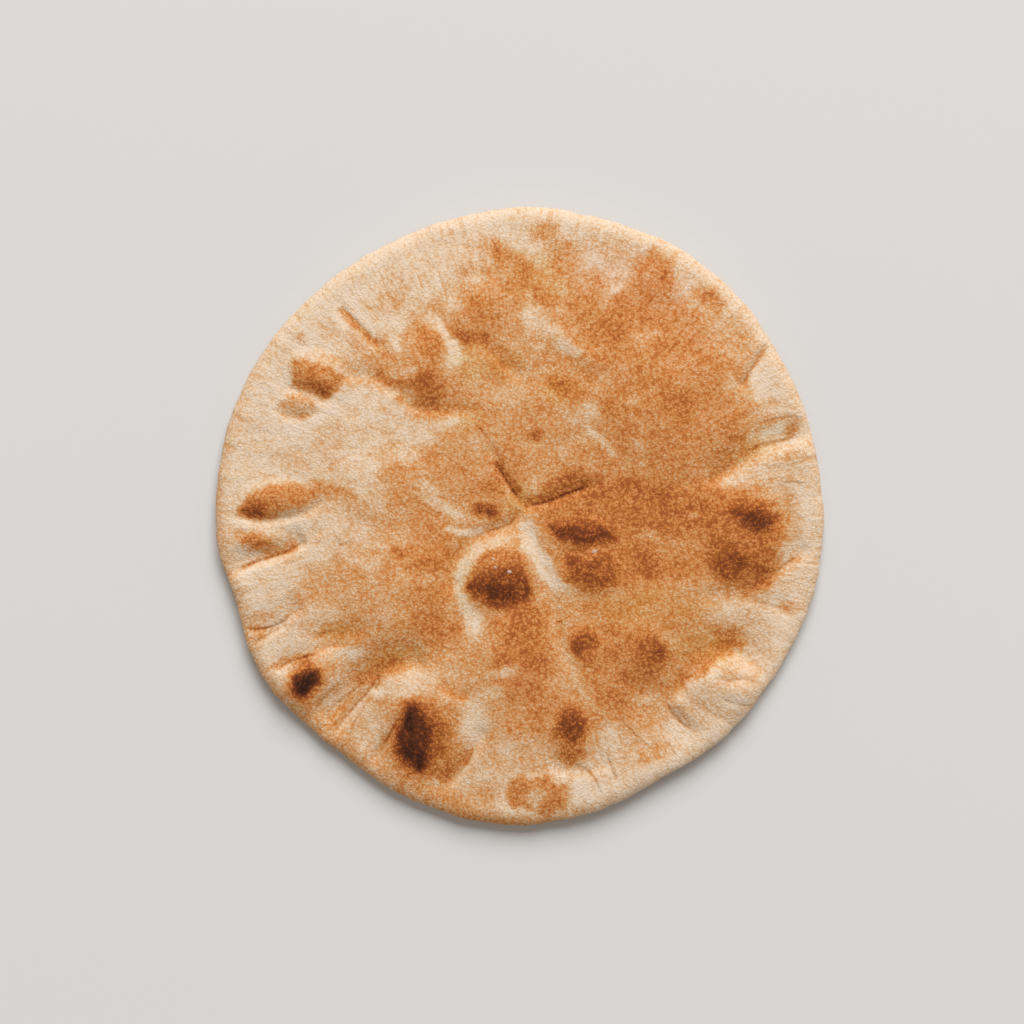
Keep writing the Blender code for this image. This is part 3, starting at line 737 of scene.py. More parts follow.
class StageLook(bpy.types.PropertyGroup):
    floor: colour("Floor", "Colour of the floor", 0.70, 0.69, 0.673)
    floor_size: length("Floor size", "Side of the floor", 4.4)
    sky: colour("Sky", "Colour of the even light", 1.0, 0.95, 0.89)
    sky_strength: FloatProperty(name="Sky strength", description="Strength of the even light", default=0.8)
    key_power: FloatProperty(
        name="Key power", description="Power of the soft lamp", default=390.0, unit="POWER"
    )
    key_size: length("Key size", "Side of the soft lamp", 3.86)
    key_distance: length("Key distance", "Distance from the bread to the lamp", 6.0)
    key_height: angle("Key height", "Height of the lamp above the horizon", 43)
    key_bearing: angle("Key bearing", "Bearing of the lamp from +X", 80)
    lens: FloatProperty(name="Lens", description="Focal length in mm", default=85.0)
    view_width: length("View width", "Width of the view at the bread", 0.2835)
    view_x: length("View X", "Middle of the view", -0.0019)
    view_y: length("View Y", "Middle of the view", 0.0014)


# ---- Small shape helpers, all in mm
FAR_AWAY = 999.0


def ease(t):
    """Ease from 0 to 1 as t goes from 0 to 1."""
    t = np.clip(t, 0.0, 1.0)
    return t * t * (3.0 - 2.0 * t)


def between(value, start, end):
    """Ease from 0 to 1 as a value goes from start to end."""
    return ease((value - start) / (end - start))


def fade_ends(along, speed, start=0.0):
    """1 along a path, falling off at both of its ends."""
    return ease(along * speed + start) * ease((1.0 - along) * speed + start)


def bearing_of(x, y):
    """Bearing of a place, in degrees from +X towards +Y."""
    return np.degrees(np.arctan2(y, x))


def round_swells(base, swells, bearing):
    """A base value plus smooth swells round the compass."""
    total = np.full_like(bearing, base)
    for middle, half_width, amount in swells:
        away = (bearing - middle + 180.0) % 360.0 - 180.0
        total += amount * np.exp(-((away / half_width) ** 2))
    return total


def oval_distance(x, y, oval):
    """0 at an oval's centre and 1 on its edge."""
    centre_x, centre_y, half_length, half_width, turn = oval
    cos, sin = math.cos(math.radians(turn)), math.sin(math.radians(turn))
    along = (x - centre_x) * cos + (y - centre_y) * sin
    across = (y - centre_y) * cos - (x - centre_x) * sin
    return np.hypot(along / half_length, across / half_width)


def smooth_path(path, steps=6):
    """A path with rounded bends that goes through the same points."""
    points = np.array(path, float)
    padded = np.vstack((2.0 * points[0] - points[1], points, 2.0 * points[-1] - points[-2]))
    t = np.linspace(0.0, 1.0, steps, endpoint=False)[:, None]
    spans = []
    for a, b, c, d in zip(padded, padded[1:], padded[2:], padded[3:]):
        curved = (2 * a - 5 * b + 4 * c - d) * t**2 + (3 * b - a - 3 * c + d) * t**3
        spans.append(0.5 * (2 * b + (c - a) * t + curved))
    return np.vstack(spans + [points[-1:]])


def from_path(x, y, path, margin):
    """Signed distance from a path, positive on its left, and the share of the way along it."""
    points = smooth_path(path)
    away = np.full_like(x, FAR_AWAY)
    along = np.zeros_like(x)
    low = points.min(axis=0) - margin
    high = points.max(axis=0) + margin
    near = np.nonzero((x > low[0]) & (x < high[0]) & (y > low[1]) & (y < high[1]))[0]
    px, py = x[near], y[near]
    best = np.full_like(px, FAR_AWAY)
    best_along = np.zeros_like(px)
    count = len(points) - 1
    for index in range(count):
        start, (dx, dy) = points[index], points[index + 1] - points[index]
        part = np.clip(((px - start[0]) * dx + (py - start[1]) * dy) / (dx * dx + dy * dy), 0.0, 1.0)
        gap = np.hypot(px - start[0] - part * dx, py - start[1] - part * dy)
        on_left = dx * (py - start[1]) >= dy * (px - start[0])
        closer = gap < np.abs(best)
        best = np.where(closer, np.where(on_left, gap, -gap), best)
        best_along = np.where(closer, (index + part) / count, best_along)
    away[near] = best
    along[near] = best_along
    return away, along


def from_corners(x, y, corners):
    """Signed distance from a cornered area's edge, negative inside."""
    points = np.array(corners, float)
    gap = np.full_like(x, FAR_AWAY)
    inside = np.zeros(x.shape, bool)
    for start, end in zip(points, np.roll(points, -1, axis=0)):
        dx, dy = end - start
        part = np.clip(((x - start[0]) * dx + (y - start[1]) * dy) / (dx * dx + dy * dy), 0.0, 1.0)
        gap = np.minimum(gap, np.hypot(x - start[0] - part * dx, y - start[1] - part * dy))
        crosses = (start[1] > y) != (end[1] > y)
        if dy:
            inside ^= crosses & (x < start[0] + (y - start[1]) * dx / dy)
    return np.where(inside, -gap, gap)


def cell_noise(u, v, seed, round_cells=NOISE_CELLS):
    """Smooth random values from -1 to 1 on unit cells; u repeats after round_cells."""
    lattice = np.random.default_rng(seed).uniform(-1.0, 1.0, (round_cells, NOISE_CELLS))
    i, j = np.floor(u).astype(int), np.floor(v).astype(int)
    fu, fv = ease(u - i), ease(v - j)
    i0, i1 = i % round_cells, (i + 1) % round_cells
    j0, j1 = j % NOISE_CELLS, (j + 1) % NOISE_CELLS
    low = lattice[i0, j0] * (1.0 - fu) + lattice[i1, j0] * fu
    high = lattice[i0, j1] * (1.0 - fu) + lattice[i1, j1] * fu
    return low * (1.0 - fv) + high * fv


def noise(x, y, grain, seed):
    """Smooth random values that change over a length of grain; each seed's cells lie askew."""
    turn = math.radians(seed * 37.0)
    u = (x * math.cos(turn) + y * math.sin(turn)) / grain
    v = (y * math.cos(turn) - x * math.sin(turn)) / grain
    return cell_noise(u, v, seed)


def layered(x, y, layers):
    """Layers of random values added up."""
    return sum(height * noise(x, y, grain, seed) for height, grain, seed in layers)


def spokes(x, y, layers):
    """Layers of random values in thin spokes, which change slowly outwards."""
    turns, out = bearing_of(x, y) / 360.0, np.hypot(x, y)
    return sum(
        height * cell_noise(turns * count, out / grain, seed, count) for height, count, grain, seed in layers
    )


def near_rim(x, y, start, full, even, uneven, grain, seed):
    """Strength of a rim pattern at each place."""
    return between(np.hypot(x, y), start, full) * (even + uneven * noise(x, y, grain, seed))


# ---- The loaf's form, in mm
# How steeply a blister rises, and how the ends of folds and thin lines fade.
BLISTER_POWER = 1.5
FOLD_FADE = 4.0
FOLD_START = 0.35
# How many widths from its path a fold is worked out.
FOLD_REACH = 2.5
# How fast the underside's dimples fade towards the rim, and where the rim's dents begin.
DIMPLE_FADE = 6.0
DENTS_FROM = 0.8
# How much the rim's dents also lift its nose.
DENT_LIFT = 0.6
# How near to its end a point of the unit pillbox counts as on a lid.
LID = 0.999


class Loaf:
    """The loaf's form and baking as functions of place, from the user's sizes."""

    def __init__(self, sizes):
        self.radius = sizes.radius / MM
        self.half_thickness = sizes.rim_half_thickness / MM
        self.nose_depth = sizes.nose_depth / MM
        self.crown_rise = sizes.crown_rise / MM
        self.crown_slope = sizes.crown_slope / MM
        self.rim_lift = sizes.rim_lift / MM
        self.base_share = sizes.base_share
        self.wrinkle_height = sizes.wrinkle_height / MM
        bearings = np.arange(0.0, 360.0, 0.5)
        ring = self.outline(bearings) * np.stack((np.cos(np.radians(bearings)), np.sin(np.radians(bearings))))
        self.middle = (ring.min(axis=1) + ring.max(axis=1)) / 2.0

    def outline(self, bearing):
        """Distance from the middle to the rim's outermost edge."""
        return round_swells(self.radius, OUTLINE_SWELLS, bearing)

    def lift(self, bearing):
        """Height of the rim's underside above the table."""
        return round_swells(self.rim_lift, RIM_LIFTS, bearing)

    def fine_spokes(self, x, y):
        """Fine wrinkles that run to the rim, strongest near it."""
        bent_x = x + layered(x, y, SPOKE_BEND_X)
        bent_y = y + layered(x, y, SPOKE_BEND_Y)
        return near_rim(x, y, *SPOKES_AT) * spokes(bent_x, bent_y, FINE_SPOKES)

    def relief(self, x, y):
        """Blisters, folds, wrinkles and lumps of the upper crust."""
        height = layered(x, y, LUMPS) + self.wrinkle_height * self.fine_spokes(x, y)
        for *oval, amount in BLISTERS.values():
            spread = oval_distance(x, y, oval) ** 2
            height += amount * np.clip(1.0 - spread, 0.0, 1.0) ** BLISTER_POWER
        for left_width, right_width, depth, *path in FOLDS.values():
            away, along = from_path(x, y, path, FOLD_REACH * max(left_width, right_width))
            width = np.where(away > 0.0, left_width, right_width)
            height -= depth * fade_ends(along, FOLD_FADE, FOLD_START) * np.exp(-((away / width) ** 2))
        return height

    def crown(self, x, y):
        """Height of the smooth upper crust, without its relief."""
        bearing = bearing_of(x, y)
        inward = (self.outline(bearing) - self.nose_depth - np.hypot(x, y)) / self.crown_slope
        edge = self.lift(bearing) * ease(1.0 - inward)
        return edge + 2.0 * self.half_thickness + self.crown_rise * ease(inward)

    def top_height(self, x, y):
        """Height of the finished upper crust."""
        return self.crown(x, y) + self.relief(x, y)

    def under_height(self, x, y):
        """Height of the underside: flat with shallow dimples, leaving the table towards the rim."""
        bearing = bearing_of(x, y)
        out = np.hypot(x, y) / (self.outline(bearing) - self.nose_depth)
        rising = self.lift(bearing) * between(out, self.base_share, 1.0)
        dimples = sum(depth * np.clip(noise(x, y, *rest), 0.0, 1.0) for depth, *rest in DIMPLES)
        return rising + dimples * ease((1.0 - out) * DIMPLE_FADE)

    def place(self, plan):
        """Carry a unit pillbox to the loaf: its lids to the crust, its wall to the rim's nose."""
        bearing = bearing_of(plan[:, 0], plan[:, 1])
        side = np.clip(plan[:, 2], -1.0, 1.0)
        out = np.hypot(plan[:, 0], plan[:, 1])
        dents = spokes(plan[:, 0], plan[:, 1], RIM_DENTS) * between(out, DENTS_FROM, 1.0)
        inner = self.outline(bearing) - self.nose_depth
        reach = out * inner + self.nose_depth * np.sqrt(1.0 - side**2) + dents
        x = reach * np.cos(np.radians(bearing))
        y = reach * np.sin(np.radians(bearing))
        nose = self.lift(bearing) + self.half_thickness * (1.0 + side)
        nose += self.relief(x, y) * np.clip(side, 0.0, 1.0) + DENT_LIFT * dents * (1.0 - side**2)
        z = np.where(side > LID, self.top_height(x, y), nose)
        z = np.where(side < -LID, self.under_height(x, y), z)
        return np.stack((x, y, z), axis=1)

    def toast_and_shade(self, x, y):
        """How far the upper crust is baked at each place; on some slopes, valleys and the rim's lower and
        left edge the level also carries painted shade, and on two slopes that face the lamp painted light.
        """
        out = np.hypot(x, y)
        warped_x, warped_y = x + layered(x, y, WARP_X), y + layered(x, y, WARP_Y)
        level = INNER_TOAST + (RIM_TOAST - INNER_TOAST) * between(out - self.radius, *PALE_RIM)
        for stroke in TOASTING_AND_SHADE.values():
            level += (stroke.level - level) * stroke.cover(warped_x, warped_y)
        level += layered(x, y, TOAST_MOTTLE)
        level += SPOKE_TOAST * self.fine_spokes(x, y) * (1.0 - between(level, *SPOKES_BAKED_OUT))
        edge = between(out - self.outline(bearing_of(x, y)), *RIM_EDGE)
        edge_level = round_swells(RIM_EDGE_TOAST, RIM_EDGE_TOAST_AND_SHADE, bearing_of(x, y))
        return level + (edge_level - level) * edge * RIM_EDGE_SHARE

    def tint(self, x, y):
        """Where the toasting is yellower or redder, with the yellower tone on the navel and a few shaded
        slopes and valleys painted shade.
        """
        level = np.zeros_like(x)
        for stroke in TINTS.values():
            level += (stroke.level - level) * stroke.cover(x, y)
        return level

    def under_toast(self, x, y):
        """Baking of the underside: browned spots on a pale base."""
        spots = ease(0.5 + layered(x, y, UNDER_SPOTS)) * between(np.hypot(x, y) / self.radius, *UNDER_RIM)
        return UNDER_PALE + (UNDER_LIGHT + UNDER_DARK * (0.5 + layered(x, y, UNDER_BROAD))) * spots

    def crease_lines(self, x, y):
        """Signed distance from the nearest thin crease line, and the line's strength there."""
        across = np.full_like(x, CREASE_REACH)
        strength = np.zeros_like(x)
        along_folds = [(weight, *FOLDS[name][3:]) for name, weight in FOLD_LINES.items()]
        for weight, *path in (*CREASE_LINES.values(), *along_folds):
            away, along = from_path(x, y, path, CREASE_REACH)
            window = np.clip(1.0 - (away / CREASE_REACH) ** 2, 0.0, 1.0) ** 2
            here = weight * fade_ends(along, FOLD_FADE) * window
            across = np.where(here > strength, away, across)
            strength = np.maximum(strength, here)
        return across, strength


# ---- Meshes
# Rounds of the crust's map: middle u, middle v, radius, and the room kept for the rim in mm.
TOP_MAP = (0.345, 0.655, 0.335)
UNDER_MAP = (0.765, 0.235, 0.225)
MAP_RIM_ALLOWANCE = 7.0
# Where round the nose the underside's baking gives way to the upper crust's.
UPPER_BAKING = (-0.65, -0.05)
# Where baking smooths the wrinkles out, and by how much.
WRINKLES_BAKED_OUT = (0.35, 0.75)
WRINKLE_LOSS = 0.85


def lay_lid(bm, cells, side):
    """A round grid of radius 1 at a height of side; gives its edge loop."""
    made = bmesh.ops.create_grid(bm, x_segments=cells, y_segments=cells, size=1.0)
    for vert in made["verts"]:
        u, v = vert.co.x, vert.co.y
        vert.co = Vector((u * math.sqrt(1.0 - 0.5 * v * v), v * math.sqrt(1.0 - 0.5 * u * u), side))
    edges = {edge for vert in made["verts"] for edge in vert.link_edges}
    return [edge for edge in edges if edge.is_boundary]


def round_order(edges):
    """Edges in order of bearing, so that loops are built the same way round."""

    def bearing(edge):
        middle = edge.verts[0].co + edge.verts[1].co
        return math.atan2(middle.y, middle.x)

    return sorted(edges, key=bearing)


def to_mesh(bm, name):
    """A mesh from a finished bmesh."""
    mesh = bpy.data.meshes.new(name)
    bm.to_mesh(mesh)
    bm.free()
    return mesh


def pillbox(top_cells, under_cells):
    """A closed unit pillbox with gridded lids and a wall of rings."""
    bm = bmesh.new()
    loop = lay_lid(bm, top_cells, 1.0)
    for nose_angle in NOSE_ANGLES:
        made = bmesh.ops.extrude_edge_only(bm, edges=round_order(loop))
        verts = {item for item in made["geom"] if isinstance(item, bmesh.types.BMVert)}
        for vert in verts:
            vert.co.z = math.sin(math.radians(nose_angle))
        edges = [item for item in made["geom"] if isinstance(item, bmesh.types.BMEdge)]
        loop = [edge for edge in edges if edge.verts[0] in verts and edge.verts[1] in verts]
    under = lay_lid(bm, under_cells, -1.0)
    bmesh.ops.bridge_loops(bm, edges=round_order(loop) + round_order(under))
    bmesh.ops.triangulate(bm, faces=bm.faces, quad_method="SHORT_EDGE")
    bmesh.ops.recalc_face_normals(bm, faces=bm.faces)
    return to_mesh(bm, "pita_crust")


def store(mesh, name, values):
    """Keep one number for each vertex for the material to read."""
    layer = mesh.attributes.new(name, "FLOAT", "POINT")
    layer.data.foreach_set("value", np.ascontiguousarray(values, np.float32))


def lay_map(mesh, plan, loaf):
    """A flat map of the crust: a large round for the upper side, a smaller one for the underside."""
    corner_vertex = np.empty(len(mesh.loops), int)
    mesh.loops.foreach_get("vertex_index", corner_vertex)
    plan_x, plan_y, side = plan[corner_vertex].T
    # Every face is a triangle, so a face is three corners in a row.
    face_side = side.reshape(-1, 3).mean(axis=1)
    on_top = np.repeat(face_side > math.sin(math.radians(MAP_SEAM_ANGLE)), 3)
    inner = loaf.radius - loaf.nose_depth
    turned = np.where(on_top, 90.0, -90.0) - np.degrees(np.arcsin(np.clip(side, -1.0, 1.0)))
    arc = np.radians(np.abs(turned)) * (loaf.nose_depth + loaf.half_thickness) / 2.0
    reach = (np.hypot(plan_x, plan_y) * inner + arc) / (inner + MAP_RIM_ALLOWANCE)
    angles = np.arctan2(plan_y, plan_x)
    middle_u, middle_v, radius = (np.where(on_top, top, under) for top, under in zip(TOP_MAP, UNDER_MAP))
    u = middle_u + radius * reach * np.cos(angles)
    v = middle_v + radius * reach * np.sin(angles)
    layer = mesh.uv_layers.new(name="OFBake")
    layer.data.foreach_set("uv", np.stack((u, v), axis=1).astype(np.float32).ravel())


def build_crust(loaf, sizes):
    """The whole bread as one closed mesh with its baking, painted shade and light included, stored on the
    vertices.
    """
    mesh = pillbox(sizes.top_cells, sizes.under_cells)
    plan = np.empty(len(mesh.vertices) * 3)
    mesh.vertices.foreach_get("co", plan)
    plan = plan.reshape(-1, 3)
    places = loaf.place(plan)
    x, y = places[:, 0], places[:, 1]
    upper = between(plan[:, 2], *UPPER_BAKING)
    toast_and_shade = loaf.toast_and_shade(x, y) * upper + loaf.under_toast(x, y) * (1.0 - upper)
    across, strength = loaf.crease_lines(x, y)
    smoothed = 1.0 - WRINKLE_LOSS * between(toast_and_shade, *WRINKLES_BAKED_OUT)
    store(mesh, "toast_and_shade", toast_and_shade)
    store(mesh, "tint", loaf.tint(x, y) * upper)
    store(mesh, "crease_across", across)
    store(mesh, "crease_strength", strength * upper)
    store(mesh, "wrinkled", near_rim(x, y, *WRINKLES_AT) * upper * smoothed)
    lay_map(mesh, plan, loaf)
    places[:, :2] -= loaf.middle
    places[:, 2] -= places[:, 2].min()
    mesh.vertices.foreach_set("co", (places * MM).ravel())
    mesh.update()
    mesh.shade_smooth()
    return mesh


def build_flecks(loaf):
    """Flour flecks that lie on the crust, as one mesh."""
    bm = bmesh.new()
    for x, y, half_length, half_width, turn in FLECKS:
        z = float(loaf.top_height(np.array([x]), np.array([y]))[0])
        made = bmesh.ops.create_icosphere(bm, subdivisions=2, radius=1.0)
        size = Matrix.Diagonal((half_length * MM, half_width * MM, FLECK_HALF_HEIGHT * MM, 1.0))
        spot = Vector(((x - loaf.middle[0]) * MM, (y - loaf.middle[1]) * MM, z * MM))
        place = Matrix.Translation(spot) @ Matrix.Rotation(math.radians(turn), 4, "Z") @ size
        bmesh.ops.transform(bm, matrix=place, verts=made["verts"])
    mesh = to_mesh(bm, "flour_flecks")
    mesh.shade_smooth()
    return mesh


# ---- Materials
class Nodes:
    """Short calls for building the nodes of a material or a world."""

    def __init__(self, owner, shader):
        owner.use_nodes = True
        self.owner = owner
        self.tree = owner.node_tree
        self.shader = self.tree.nodes[shader]

    def add(self, kind, settings=(), **inputs):
        """A node with its settings, and its inputs set or linked by name or number."""
        node = self.tree.nodes.new(kind)
        for key, value in dict(settings).items():
            setattr(node, key, value)
        return self.feed(node, **inputs)

    def feed(self, node, **inputs):
        """Link a node's sockets, or set them to plain values; i0 is its first socket."""
        for key, value in inputs.items():
            socket = node.inputs[int(key[1:]) if key[1:].isdigit() else key.replace("_", " ")]
            if isinstance(value, bpy.types.NodeSocket):
                self.tree.links.new(value, socket)
            else:
                socket.default_value = value
        return node

    def finish(self, **inputs):
        """Feed the shader and give back what it shades."""
        self.feed(self.shader, **inputs)
        return self.owner

    def position(self):
        """Place on the piece."""
        return self.add("ShaderNodeTexCoord").outputs["Object"]

    def attribute(self, name):
        """A number stored on the vertices."""
        return self.add("ShaderNodeAttribute", {"attribute_name": name}).outputs["Fac"]

    def maths(self, operation, a, b, c=0.0):
        """Arithmetic on two or three numbers."""
        return self.add("ShaderNodeMath", {"operation": operation}, i0=a, i1=b, i2=c).outputs[0]

    def vector(self, operation, a, b=(0.0, 0.0, 0.0), c=(0.0, 0.0, 0.0)):
        """Arithmetic on vectors and colours."""
        return self.add("ShaderNodeVectorMath", {"operation": operation}, i0=a, i1=b, i2=c).outputs[0]

    def noise(self, position, scale, detail=2.0, roughness=0.5, distortion=0.0):
        """Noise from 0 to 1 round 0.5."""
        inputs = {"Scale": scale, "Detail": detail, "Roughness": roughness, "Distortion": distortion}
        return self.add("ShaderNodeTexNoise", Vector=position, **inputs).outputs["Fac"]

    def ramp(self, value, stops):
        """A colour ramp with the given places and colours."""
        node = self.add("ShaderNodeValToRGB", Fac=value)
        elements = node.color_ramp.elements
        while len(elements) < len(stops):
            elements.new(0.5)
        for element, (place, tone) in zip(elements, stops):
            element.position = place
            element.color = (*tone, 1.0)
        return node.outputs["Color"]

    def levels(self, value, stops):
        """A ramp of plain numbers."""
        return self.ramp(value, [(place, (level,) * 3) for place, level in stops])


# Places of the crust's colours along the toasting scale, and how strong its grain is along it.
COLOUR_PLACES = (0.0, 0.15, 0.3, 0.45, 0.6, 0.75, 0.88, 1.0)
GRAIN_STRENGTH = ((0.0, 0.35), (0.4, 0.52), (0.8, 0.42), (1.0, 0.14))
GRAIN_CEILING = ((0.0, 0.6), (0.45, 0.4), (0.7, 0.2), (1.0, 0.14))
# The grain's cells: their strength and offset, and how finely and how far they are stirred.
CELL_STRENGTH = 0.75
CELL_OFFSET = -0.33
STIR_SCALE = 0.8
STIR_REACH = 0.9
# Layers over the cells: scale against the grain, detail, roughness, distortion, strength.
GRAIN_LAYERS = ((2.1, 1.0, 0.5, 0.0, 1.1), (0.75, 2.0, 0.6, 1.4, 0.62), (0.42, 2.0, 0.5, 0.4, 0.4))
# Wrinkles round the rim: how many across one radius of turning, how fast they change outwards.
WRINKLE_COUNT = 55.0
WRINKLE_STRETCH = 90.0
WRINKLE_TOAST = 0.5
# Thin crease lines, partly browning and partly painted shade: width in mm, how much they darken, and the
# grey-brown of the painted shade that they are multiplied by.
CREASE_LINE_WIDTH = 0.45
CREASE_DARKENING = 0.42
CREASE_SHADE_COLOURS = ((0.0, (1.0, 1.0, 1.0)), (1.0, (0.42, 0.33, 0.27)))
TINT_COLOURS = ((0.0, (1.0, 0.94, 0.95)), (0.5, (1.0, 1.0, 1.0)), (1.0, (0.985, 1.005, 0.85)))
# Fine bumps: scale against the grain, depth of the grain, lines and wrinkles in them, strength, height.
BUMP_SCALE = 1.6
BUMP_GRAIN = -1.6
BUMP_LINE = -2.2
BUMP_WRINKLE = -1.3
BUMP_STRENGTH = 0.5
BUMP_HEIGHT = 0.00022
FLOUR_SPECKLE = 3000.0
FLOUR_SHADE = 0.82


def crust_grain(nodes, position, size):
    """Fine grain of the crust: stirred cells under layers of noise, round 0."""
    stir = nodes.add("ShaderNodeTexNoise", Vector=position, Scale=STIR_SCALE / size, Detail=1.0)
    stirred = nodes.vector("MULTIPLY_ADD", stir.outputs["Color"], (size * STIR_REACH,) * 3, position)
    cells = nodes.add("ShaderNodeTexVoronoi", Vector=stirred, Scale=1.0 / size).outputs["Distance"]
    grain = nodes.maths("MULTIPLY_ADD", cells, CELL_STRENGTH, CELL_OFFSET)
    for scale, detail, roughness, distortion, strength in GRAIN_LAYERS:
        layer = nodes.noise(position, scale / size, detail, roughness, distortion)
        grain = nodes.maths("MULTIPLY_ADD", layer, strength, nodes.maths("ADD", grain, -strength / 2.0))
    return grain


def rim_wrinkles(nodes, position):
    """Fine wrinkles that run outwards, where the crust is wrinkled."""
    flat = nodes.vector("MULTIPLY", position, (1.0, 1.0, 0.0))
    around = nodes.vector("NORMALIZE", flat)
    outwards = nodes.add("ShaderNodeVectorMath", {"operation": "LENGTH"}, i0=position).outputs["Value"]
    depth = nodes.add("ShaderNodeCombineXYZ", Z=nodes.maths("MULTIPLY", outwards, WRINKLE_STRETCH)).outputs[0]
    wheel = nodes.vector("MULTIPLY_ADD", around, (WRINKLE_COUNT,) * 3, depth)
    wrinkle = nodes.noise(wheel, 1.0, 2.0, 0.55, 1.2)
    return nodes.maths("MULTIPLY", nodes.maths("SUBTRACT", wrinkle, 0.5), nodes.attribute("wrinkled"))


def thin_lines(nodes):
    """Thin crease lines, as strong as they were stored."""
    scaled = nodes.maths("DIVIDE", nodes.attribute("crease_across"), CREASE_LINE_WIDTH)
    squared = nodes.maths("MULTIPLY", scaled, scaled)
    bell = nodes.maths("POWER", math.e, nodes.maths("MULTIPLY", squared, -1.0))
    return nodes.maths("MULTIPLY", bell, nodes.attribute("crease_strength"))


def crust_material(look):
    """Baked crust: colour by toasting with some painted shade and light, broken up by a fine grain, with dark
    crease lines of browning and painted shade.
    """
    nodes = Nodes(bpy.data.materials.new(SLOT + "_finish"), "Principled BSDF")
    position = nodes.position()
    toast_and_shade = nodes.attribute("toast_and_shade")
    wrinkles = rim_wrinkles(nodes, position)
    line = thin_lines(nodes)
    grain = crust_grain(nodes, position, look.grain)
    grain = nodes.maths("MINIMUM", grain, nodes.levels(toast_and_shade, GRAIN_CEILING))
    level = nodes.maths("MULTIPLY_ADD", grain, nodes.levels(toast_and_shade, GRAIN_STRENGTH), toast_and_shade)
    level = nodes.maths("MULTIPLY_ADD", wrinkles, WRINKLE_TOAST, level)
    level = nodes.maths("MULTIPLY_ADD", line, CREASE_DARKENING, level)

    colours = (look.raw, look.cream, look.straw, look.golden, look.toasted, look.brown, look.dark, look.char)
    baked = nodes.ramp(level, list(zip(COLOUR_PLACES, colours)))
    tint = nodes.ramp(nodes.maths("MULTIPLY_ADD", nodes.attribute("tint"), 0.5, 0.5), TINT_COLOURS)
    tinted = nodes.vector("MULTIPLY", baked, tint)
    # Painted shade: crease lines multiply the colour towards a grey-brown.
    shaded = nodes.vector("MULTIPLY", tinted, nodes.ramp(line, CREASE_SHADE_COLOURS))

    pits = nodes.noise(position, BUMP_SCALE / look.grain, 3.0, 0.6)
    for pattern, depth in ((grain, BUMP_GRAIN), (line, BUMP_LINE), (wrinkles, BUMP_WRINKLE)):
        pits = nodes.maths("MULTIPLY_ADD", pattern, depth, pits)
    bump = nodes.add("ShaderNodeBump", Strength=BUMP_STRENGTH, Distance=BUMP_HEIGHT, Height=pits)
    return nodes.finish(
        Base_Color=shaded, Normal=bump.outputs["Normal"], Roughness=look.roughness, Specular_IOR_Level=0.08
    )


def flour_material(look):
    """Matt dry flour with a slight speckle."""
    nodes = Nodes(bpy.data.materials.new("flour_finish"), "Principled BSDF")
    speckle = nodes.noise(nodes.position(), FLOUR_SPECKLE)
    shade = [FLOUR_SHADE * part for part in look.flour]
    tone = nodes.ramp(speckle, ((0.3, shade), (0.7, look.flour)))
    return nodes.finish(Base_Color=tone, Roughness=0.9, Specular_IOR_Level=0.2)


def floor_material(look):
    """Plain pale matt floor."""
    nodes = Nodes(bpy.data.materials.new("plain_floor"), "Principled BSDF")
    return nodes.finish(Base_Color=(*look.floor, 1.0), Roughness=0.95, Specular_IOR_Level=0.1)


def add_item(context, name, data):
    """Link a mesh, lamp or camera as an object."""
    item = bpy.data.objects.new(name, data)
    context.scene.collection.objects.link(item)
    return item


def add_piece(context, name, mesh, material):
    """Link a mesh as an object with its material."""
    mesh.materials.append(material)
    return add_item(context, name, mesh)


# ---- Operators
class PITA_OT_crust(bpy.types.Operator):
    """Build the bread's crust over its solid"""

    bl_idname = "pita.crust"
    bl_label = "Pita Crust"

    def execute(self, context):
        sizes = context.scene.pita_sizes
        mesh = build_crust(Loaf(sizes), sizes)
        piece = add_piece(context, "pita_crust", mesh, crust_material(context.scene.pita_look))
        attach(piece, BODY)
        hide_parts(NODE)
        return {"FINISHED"}


class PITA_OT_flecks(bpy.types.Operator):
    """Lay the flour flecks on the crust"""

    bl_idname = "pita.flecks"
    bl_label = "Flour Flecks"

    def execute(self, context):
        mesh = build_flecks(Loaf(context.scene.pita_sizes))
        piece = add_piece(context, "flour_flecks", mesh, flour_material(context.scene.pita_look))
        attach(piece, BODY)
        return {"FINISHED"}


# How bright the sky is from the horizon upwards, the lamp's colour and the camera's sensor in mm.
SKY_GLOW = ((0.0, 1.15), (0.05, 0.95), (0.3, 0.4), (1.0, 0.4))
LAMP_COLOUR = (1.0, 1.02, 1.045)
SENSOR_WIDTH = 36.0


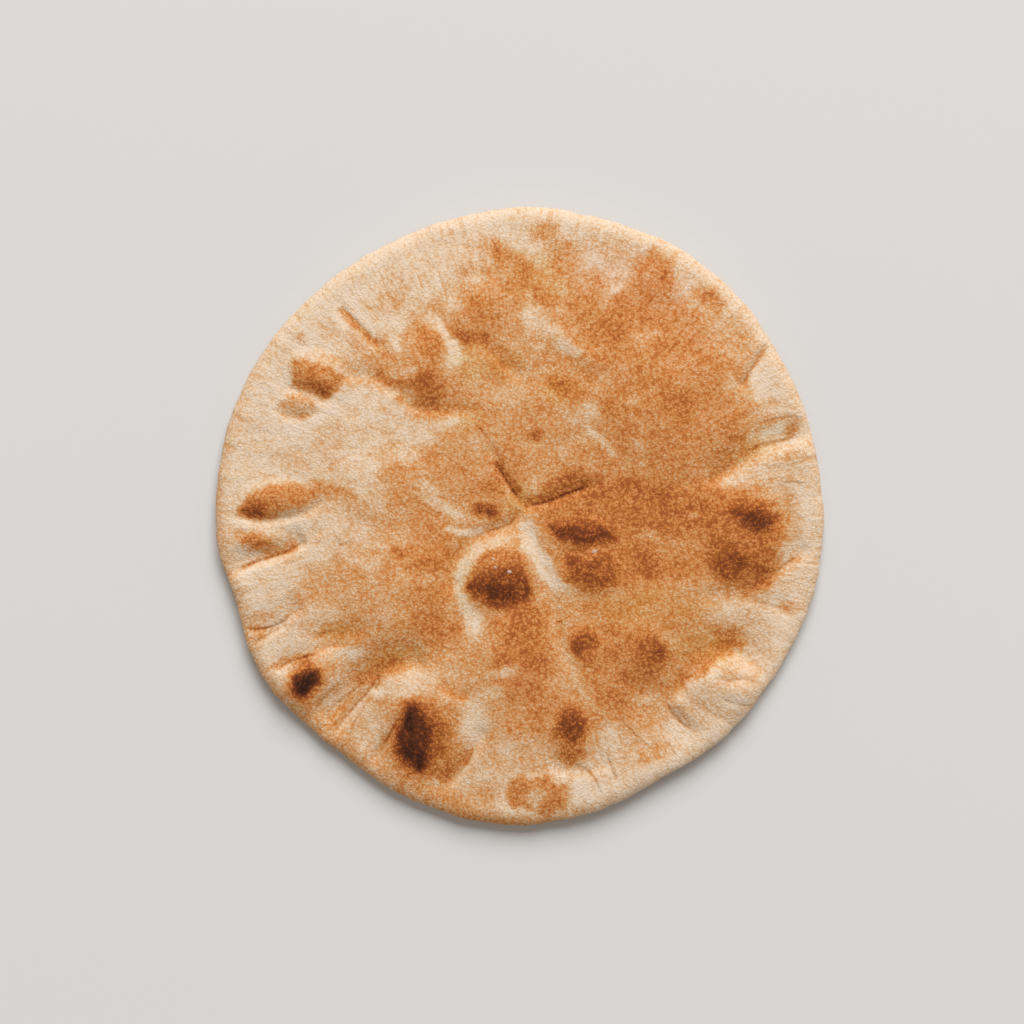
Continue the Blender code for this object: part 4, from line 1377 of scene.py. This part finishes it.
class PITA_OT_stage(bpy.types.Operator):
    """Set the floor, the soft light and the camera"""

    bl_idname = "pita.stage"
    bl_label = "Plain Stage"

    def execute(self, context):
        look = context.scene.pita_stage
        self.lay_floor(context, look)
        self.hang_lamp(context, look)
        self.light_sky(context, look)
        self.aim_camera(context, look)
        context.scene.view_settings.view_transform = "Standard"
        return {"FINISHED"}

    def lay_floor(self, context, look):
        """A large flat floor under the bread."""
        bm = bmesh.new()
        bmesh.ops.create_grid(bm, x_segments=1, y_segments=1, size=look.floor_size / 2.0)
        add_piece(context, "floor", to_mesh(bm, "floor"), floor_material(look))

    def hang_lamp(self, context, look):
        """One large soft lamp that faces the bread."""
        lamp = bpy.data.lights.new("soft_lamp", "AREA")
        lamp.shape = "SQUARE"
        lamp.size = look.key_size
        lamp.energy = look.key_power
        lamp.color = LAMP_COLOUR
        item = add_item(context, "soft_lamp", lamp)
        flat = look.key_distance * math.cos(look.key_height)
        item.location = (
            flat * math.cos(look.key_bearing),
            flat * math.sin(look.key_bearing),
            look.key_distance * math.sin(look.key_height),
        )
        item.rotation_euler = (-item.location).to_track_quat("-Z", "Y").to_euler()
        item.visible_camera = False

    def light_sky(self, context, look):
        """Even pale light from all round, brightest at the horizon."""
        nodes = Nodes(bpy.data.worlds.new("pale_sky"), "Background")
        direction = nodes.add("ShaderNodeTexCoord").outputs["Generated"]
        upwards = nodes.add("ShaderNodeSeparateXYZ", Vector=direction).outputs["Z"]
        stops = [(place, [bright * part for part in look.sky]) for place, bright in SKY_GLOW]
        glow = nodes.ramp(nodes.maths("ABSOLUTE", upwards, 0.0), stops)
        context.scene.world = nodes.finish(Color=glow, Strength=look.sky_strength)

    def aim_camera(self, context, look):
        """A camera straight above the bread."""
        camera = bpy.data.cameras.new("camera")
        camera.lens = look.lens
        camera.sensor_width = SENSOR_WIDTH
        height = look.view_width * look.lens / SENSOR_WIDTH
        item = add_item(context, "camera", camera)
        item.location = (look.view_x, look.view_y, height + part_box(NODE)[1][2])
        context.scene.camera = item


class PITA_PT_panel(bpy.types.Panel):
    """Lists the steps of the bread"""

    bl_idname = "PITA_PT_panel"
    bl_label = "Pita Bread"
    bl_space_type = "VIEW_3D"
    bl_region_type = "UI"
    bl_category = "Pita"

    def draw(self, context):
        for group in GROUPS:
            settings = getattr(context.scene, group)
            for name in settings.__annotations__:
                self.layout.prop(settings, name)
        for operator in OPERATORS:
            self.layout.operator(operator.bl_idname)


GROUPS = {"pita_sizes": LoafSizes, "pita_look": CrustLook, "pita_stage": StageLook}
OPERATORS = (PITA_OT_crust, PITA_OT_flecks, PITA_OT_stage)
CLASSES = (*GROUPS.values(), *OPERATORS, PITA_PT_panel)


def register():
    for cls in CLASSES:
        bpy.utils.register_class(cls)
    for name, group in GROUPS.items():
        setattr(bpy.types.Scene, name, PointerProperty(type=group))


def unregister():
    for name in GROUPS:
        delattr(bpy.types.Scene, name)
    for cls in reversed(CLASSES):
        bpy.utils.unregister_class(cls)


def main():
    register()
    bpy.ops.pita.crust()
    bpy.ops.pita.flecks()
    bpy.ops.pita.stage()


if __name__ == "__main__":
    main()
